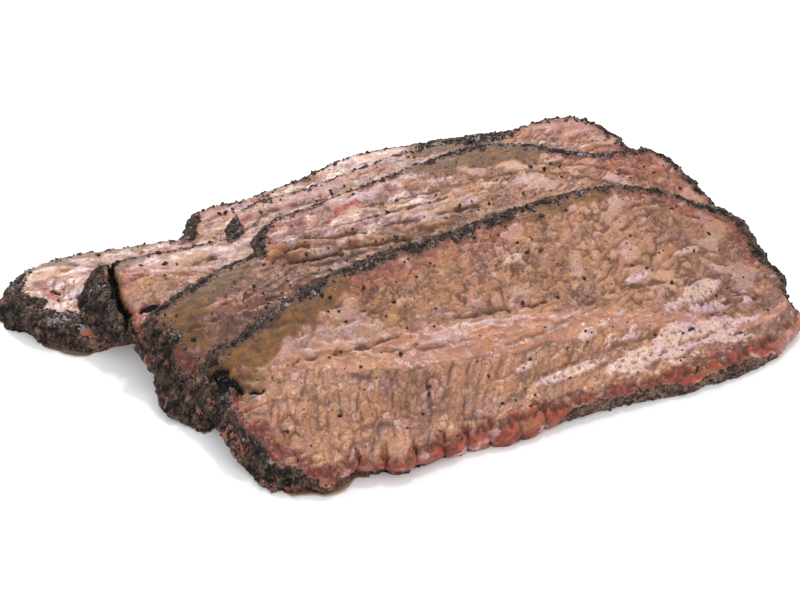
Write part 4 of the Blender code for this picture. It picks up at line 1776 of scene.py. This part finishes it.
        # Painted highlights on the wet red meat and torn streaks.
        masks[Mask.PALE_AND_SHEEN] = 0.6 * red * ramp(patchy, 0.35, 0.6) + 0.15 * torn * ramp(streak, 0.5, 0.8)
        masks[Mask.WET] = np.maximum(red, torn) * ramp(patchy, -0.2, 0.3)
        return points, masks


# ---- Crumbs, pepper and juice


@dataclass
class Scatter:
    """Many small grains of one kind, joined into one mesh."""

    name: str
    finish: GrainFinish
    count: int
    draw: int  # seed of the grains' places
    seed: int  # of their shapes
    smallest: float  # mm, width of the smallest grain
    spread: tuple[float, float]  # shape and mm of the gamma distribution that is added to it
    largest: float = math.inf  # mm
    doubled: float = 0.0  # share of the grains that are twice as wide
    flatness: float = 0.8  # height of a grain over its width
    stretch: float = 1.0  # length of a grain over its width
    tilt: float = 0.3  # slope, how unevenly the grains lie
    sunk: float = 0.1  # share of its height that a grain sinks in

    def __post_init__(self) -> None:
        """Makes the plain grain that all the grains are pulled from: an icosahedron."""
        g = (1.0 + math.sqrt(5.0)) / 2.0
        corners = [(-1, g, 0), (1, g, 0), (-1, -g, 0), (1, -g, 0), (0, -1, g), (0, 1, g)]
        corners += [(0, -1, -g), (0, 1, -g), (g, 0, -1), (g, 0, 1), (-g, 0, -1), (-g, 0, 1)]
        self.corners = np.array(corners, float) / math.hypot(1.0, g)
        side = 2.0 / math.hypot(1.0, g) + 1e-6
        found = []
        for a, b, c in itertools.combinations(range(12), 3):
            p, q, r = self.corners[[a, b, c]]
            if max(math.dist(p, q), math.dist(q, r), math.dist(r, p)) < side:
                turned = np.dot(np.cross(q - p, r - p), p + q + r) > 0
                found.append((a, b, c) if turned else (a, c, b))
        self.triangles = np.array(found)

    def _places(self, slices: Slices, weights: Sequence[Array]) -> tuple[Array, Array]:
        """Draws the grains' places.

        Args:
            slices: the slices that they lie on.
            weights: for each slice, how likely each of its points is.

        Returns:
            The places in mm, and the surface's normals there.
        """
        random = np.random.default_rng(self.draw)
        points = np.concatenate([piece.points for piece in slices])
        normals = np.concatenate([piece.normals for piece in slices])
        weight = np.concatenate(weights)
        picked = random.choice(len(points), self.count, replace=False, p=weight / weight.sum())
        return points[picked], normals[picked]

    def _widths(self, random: np.random.Generator) -> Array:
        """Draws the grains' widths.

        Args:
            random: where the numbers come from.

        Returns:
            The widths in mm.
        """
        widths = self.smallest + random.gamma(*self.spread, self.count)
        if self.doubled > 0:
            widths *= np.where(random.random(self.count) < self.doubled, 2.0, 1.0)
        return np.minimum(widths, self.largest)

    def build(self, slices: Slices, weights: Sequence[Array], random: np.random.Generator) -> Piece:
        """Makes the joined mesh.

        Args:
            slices: the slices that the grains lie on.
            weights: for each slice, how likely each of its points is.
            random: where the grains' widths come from.

        Returns:
            The object, riding on the body.
        """
        places, normals = self._places(slices, weights)
        widths = self._widths(random)
        shaping = np.random.default_rng(self.seed)
        count, size = self.count, len(self.corners)
        across = np.cross(normals, shaping.normal(size=(count, 3)))
        across /= np.linalg.norm(across, axis=1, keepdims=True)
        other = np.cross(normals, across)
        local = self.corners[None] * shaping.uniform(0.6, 1.3, (count, size, 1)) * widths[:, None, None] / 2.0
        local *= shaping.uniform(0.75, 1.3, (count, 1, 3)) * (self.stretch, 1.0, self.flatness)
        tilt = shaping.normal(0.0, self.tilt, (count, 2))
        lifted = local[:, :, 2] + tilt[:, :1] * local[:, :, 0] + tilt[:, 1:] * local[:, :, 1]
        lifted -= self.sunk * widths[:, None] * self.flatness
        points = places[:, None] + local[:, :, :1] * across[:, None] + local[:, :, 1:2] * other[:, None]
        points = (points + lifted[..., None] * normals[:, None]).reshape(-1, 3)
        points[:, 2] = np.maximum(points[:, 2], 0.0)
        faces = (self.triangles[None] + size * np.arange(count)[:, None, None]).reshape(-1, 3)
        log.info("%s: %d grains, %d triangles", self.name, count, len(faces))
        return placed_piece(self.name, points, faces.tolist(), self.finish.material())


@dataclass(frozen=True)
class Juice:
    """A thin film of juice that has run out along the feet of the slices' thin ends."""

    reach: float = 3.6  # mm, out from the foot
    height: float = 0.3
    step: float = 0.7  # between points along the foot
    narrowest: float = 0.25  # a narrower film is left out
    lift: float = 0.6  # of the underside above the table, up to which the film reaches it
    shortest: int = 6  # points in a run of film
    # Across the film, shares of its reach from the foot, or mm under it, and of its height.
    profile: Knots = ((-2.0, 0.0), (-2.0, 1.0), (0.35, 1.0), (0.75, 0.8), (0.93, 0.45), (1.0, 0.0))

    def build(self, slices: Slices) -> Piece:
        """Makes one joined mesh of the film round every slice that stands on the table.

        Args:
            slices: all the slices.

        Returns:
            The object, riding on the body.
        """
        points: list[Array] = []
        faces: list[list[int]] = []
        for piece in slices:
            self._follow(piece, [other for other in slices if other is not piece], points, faces)
        log.info("juice: %d faces", len(faces))
        return placed_piece("juice", np.array(points), faces, JuiceFinish().material())

    def _follow(
        self, piece: BrisketSlice, others: Slices, points: list[Array], faces: list[list[int]]
    ) -> None:
        """Adds the film along one slice's foot.

        Args:
            piece: the slice.
            others: the slices that may lie over the film.
            points: points of the film so far, in mm.
            faces: faces of the film so far.
        """
        foot = Outline(piece.foot_points).resampled(self.step).smoothed(2.5)
        place, normal = foot.points, evened(foot.outward(), 12)
        share, rise, _ = piece.shares(place)
        wide = 0.45 + 0.55 * layered(place, 11.0, 2, piece.seed + 90)
        wide *= self.reach * ramp(share, 0.20, 0.08) * ramp(rise, 1.1, 0.5)
        free = (wide > self.narrowest) & (piece.probe.bottom(place) < self.lift) & (share > 0.02)
        for other in others:
            free &= other.probe.foot.inner_distance(place) < 1.0
        if not free.any():
            return
        around = np.roll(np.arange(len(place)), -int(np.flatnonzero(~free)[0]))
        stops = np.flatnonzero(np.diff(np.concatenate(([0], free[around].astype(int), [0]))))
        for start, end in stops.reshape(-1, 2):
            run = around[start:end]
            if len(run) < self.shortest:
                continue
            taper = ramp(np.minimum(np.arange(len(run)), np.arange(len(run))[::-1]), -1.0, 5.0)
            base = len(points)
            for index, share_of in zip(run, taper):
                for out, up in self.profile:
                    far = out if out < 0 else out * wide[index] * share_of
                    plan = place[index] + far * normal[index]
                    points.append(np.array((*plan, up * self.height * (0.3 + 0.7 * share_of))))
            size = len(self.profile)
            for k, corner in itertools.product(range(len(run) - 1), range(size)):
                nxt = (corner + 1) % size
                low = base + k * size
                faces.append([low + corner, low + size + corner, low + size + nxt, low + nxt])
            faces.append([base + corner for corner in range(size)])
            faces.append([base + (len(run) - 1) * size + corner for corner in reversed(range(size))])


# ---- Studio


@dataclass
class Studio:
    """White table, soft light from all round with a large lamp behind, and the camera."""

    heading: float = 25.0  # degrees that the camera's view is turned from +Y towards +X
    elevation: float = 38.0  # degrees
    distance: float = 1.2  # metres
    view_angle: float = 14.5  # degrees
    target: tuple[float, float, float] = (0.00599, 0.0054, 0.0)
    lamp_distance: float = 1.6
    floor_size: float = 6.0
    floor_gap: float = 0.0002  # below the slices
    world_strength: float = 0.91

    def build(self) -> None:
        """Makes the floor, the lights and the camera."""
        self._floor()
        self._world()
        self._lamp("softbox_back", azimuth=-16.0, height=38.0, size=0.6, watts=9.5)
        self._lamp("softbox_right", azimuth=34.0, height=66.0, size=0.15, watts=6.0)
        self._lamp("softbox_front", azimuth=150.0, height=62.0, size=1.4, watts=2.2)
        self._camera()
        bpy.context.scene.view_settings.view_transform = "Standard"

    def _floor(self) -> None:
        """White table, far larger than the view."""
        half = self.floor_size / 2.0
        mesh = bpy.data.meshes.new("table")
        corners = [(-half, -half, 0), (half, -half, 0), (half, half, 0), (-half, half, 0)]
        mesh.from_pydata(corners, [], [(0, 1, 2, 3)])
        mesh.materials.append(FloorFinish().material())
        floor = bpy.data.objects.new("table", mesh)
        floor.location.z = -self.floor_gap
        bpy.context.scene.collection.objects.link(floor)

    def _world(self) -> None:
        """Even white light from all round."""
        world = bpy.data.worlds.new("studio")
        world.use_nodes = True
        background = world.node_tree.nodes["Background"]
        background.inputs["Color"].default_value = linear("#ffffff")
        background.inputs["Strength"].default_value = self.world_strength
        bpy.context.scene.world = world

    def _aim(self, thing: Piece, toward: Vector) -> None:
        """Points a lamp or the camera at a place."""
        thing.rotation_euler = (toward - thing.location).to_track_quat("-Z", "Y").to_euler()

    def _around(self, azimuth: float, height: float, distance: float) -> Vector:
        """A place round the target; azimuth 0 lies behind it as the camera sees it.

        Args:
            azimuth: degrees clockwise from behind the target, as the camera sees it.
            height: degrees above the table.
            distance: metres from the target.

        Returns:
            The place in metres.
        """
        turn, lift = math.radians(self.heading + azimuth), math.radians(height)
        flat = distance * math.cos(lift)
        away = (flat * math.sin(turn), flat * math.cos(turn), distance * math.sin(lift))
        return Vector(self.target) + Vector(away)

    def _lamp(self, name: str, azimuth: float, height: float, size: float, watts: float) -> None:
        """Adds a square softbox that faces the slices.

        Args:
            name: name of the lamp.
            azimuth: degrees clockwise from behind the target, as the camera sees it.
            height: degrees above the table.
            size: metres, of its side.
            watts: its power.
        """
        light = bpy.data.lights.new(name, "AREA")
        light.shape = "SQUARE"
        light.size = size
        light.energy = watts
        lamp = bpy.data.objects.new(name, light)
        lamp.location = self._around(azimuth, height, self.lamp_distance)
        bpy.context.scene.collection.objects.link(lamp)
        self._aim(lamp, Vector(self.target))

    def _camera(self) -> None:
        """Adds the camera."""
        lens = bpy.data.cameras.new("camera")
        lens.angle = math.radians(self.view_angle)
        camera = bpy.data.objects.new("camera", lens)
        camera.location = self._around(180.0, self.elevation, self.distance)
        bpy.context.scene.collection.objects.link(camera)
        self._aim(camera, Vector(self.target))
        bpy.context.scene.camera = camera


def main() -> None:
    """Builds every piece and the studio."""
    logging.basicConfig(level=logging.INFO, format="%(name)s: %(message)s")
    beef, crust = CutBeefFinish().material(), BarkFinish().material()
    slices = [BrisketSlice(node, 1000 * (k + 1)) for k, node in enumerate(SLICES_FROM_TOP)]
    for k, piece in enumerate(slices):
        piece.build(slices[:k], beef, crust)

    random = np.random.default_rng(8)
    char = GrainFinish("brisket_bark_crumbs", "#57483e", "#0a0706", 0.9, 0.65, 0.25, 0.0)
    crumbs = Scatter(
        "bark_crumbs", char, count=5500, draw=7, seed=9, smallest=0.3, spread=(2.0, 0.32), largest=2.6,
        doubled=0.04,
    )
    fallen = [0.12 * s.on_face * s.beside(s.points[:, :2], slices[:k]) for k, s in enumerate(slices)]
    weights = [s.shown * np.maximum(s.bark * (0.5 + 0.5 * s.on_face), f) for s, f in zip(slices, fallen)]
    crumbs.build(slices, weights, random)

    corns = GrainFinish("cracked_black_pepper", "#2a1a10", "#060302", 0.7, 0.5, 0.3, 0.0)
    pepper = Scatter(
        "pepper", corns, count=560, draw=17, seed=19, smallest=0.5, spread=(1.1, 0.56), largest=2.5,
        flatness=0.5,
    )
    pepper.build(slices, [s.shown * s.on_face * (1.0 - s.bark) for s in slices], random)

    torn = GrainFinish("torn_smoked_beef", "#86483a", "#3c1a14", coat=0.3)
    shreds = Scatter(
        "meat_shreds", torn, count=45, draw=27, seed=29, smallest=0.8, spread=(2.0, 0.4), flatness=0.5,
        stretch=1.8,
    )
    front = slices[0]
    left = ramp(front.shares(front.points[:, :2])[0], 0.14, 0.04)
    shreds.build([front], [~front.on_face * (front.points[:, 2] < 3.0) * left], random)
    Juice().build(slices)
    Studio().build()


if __name__ == "__main__":
    main()
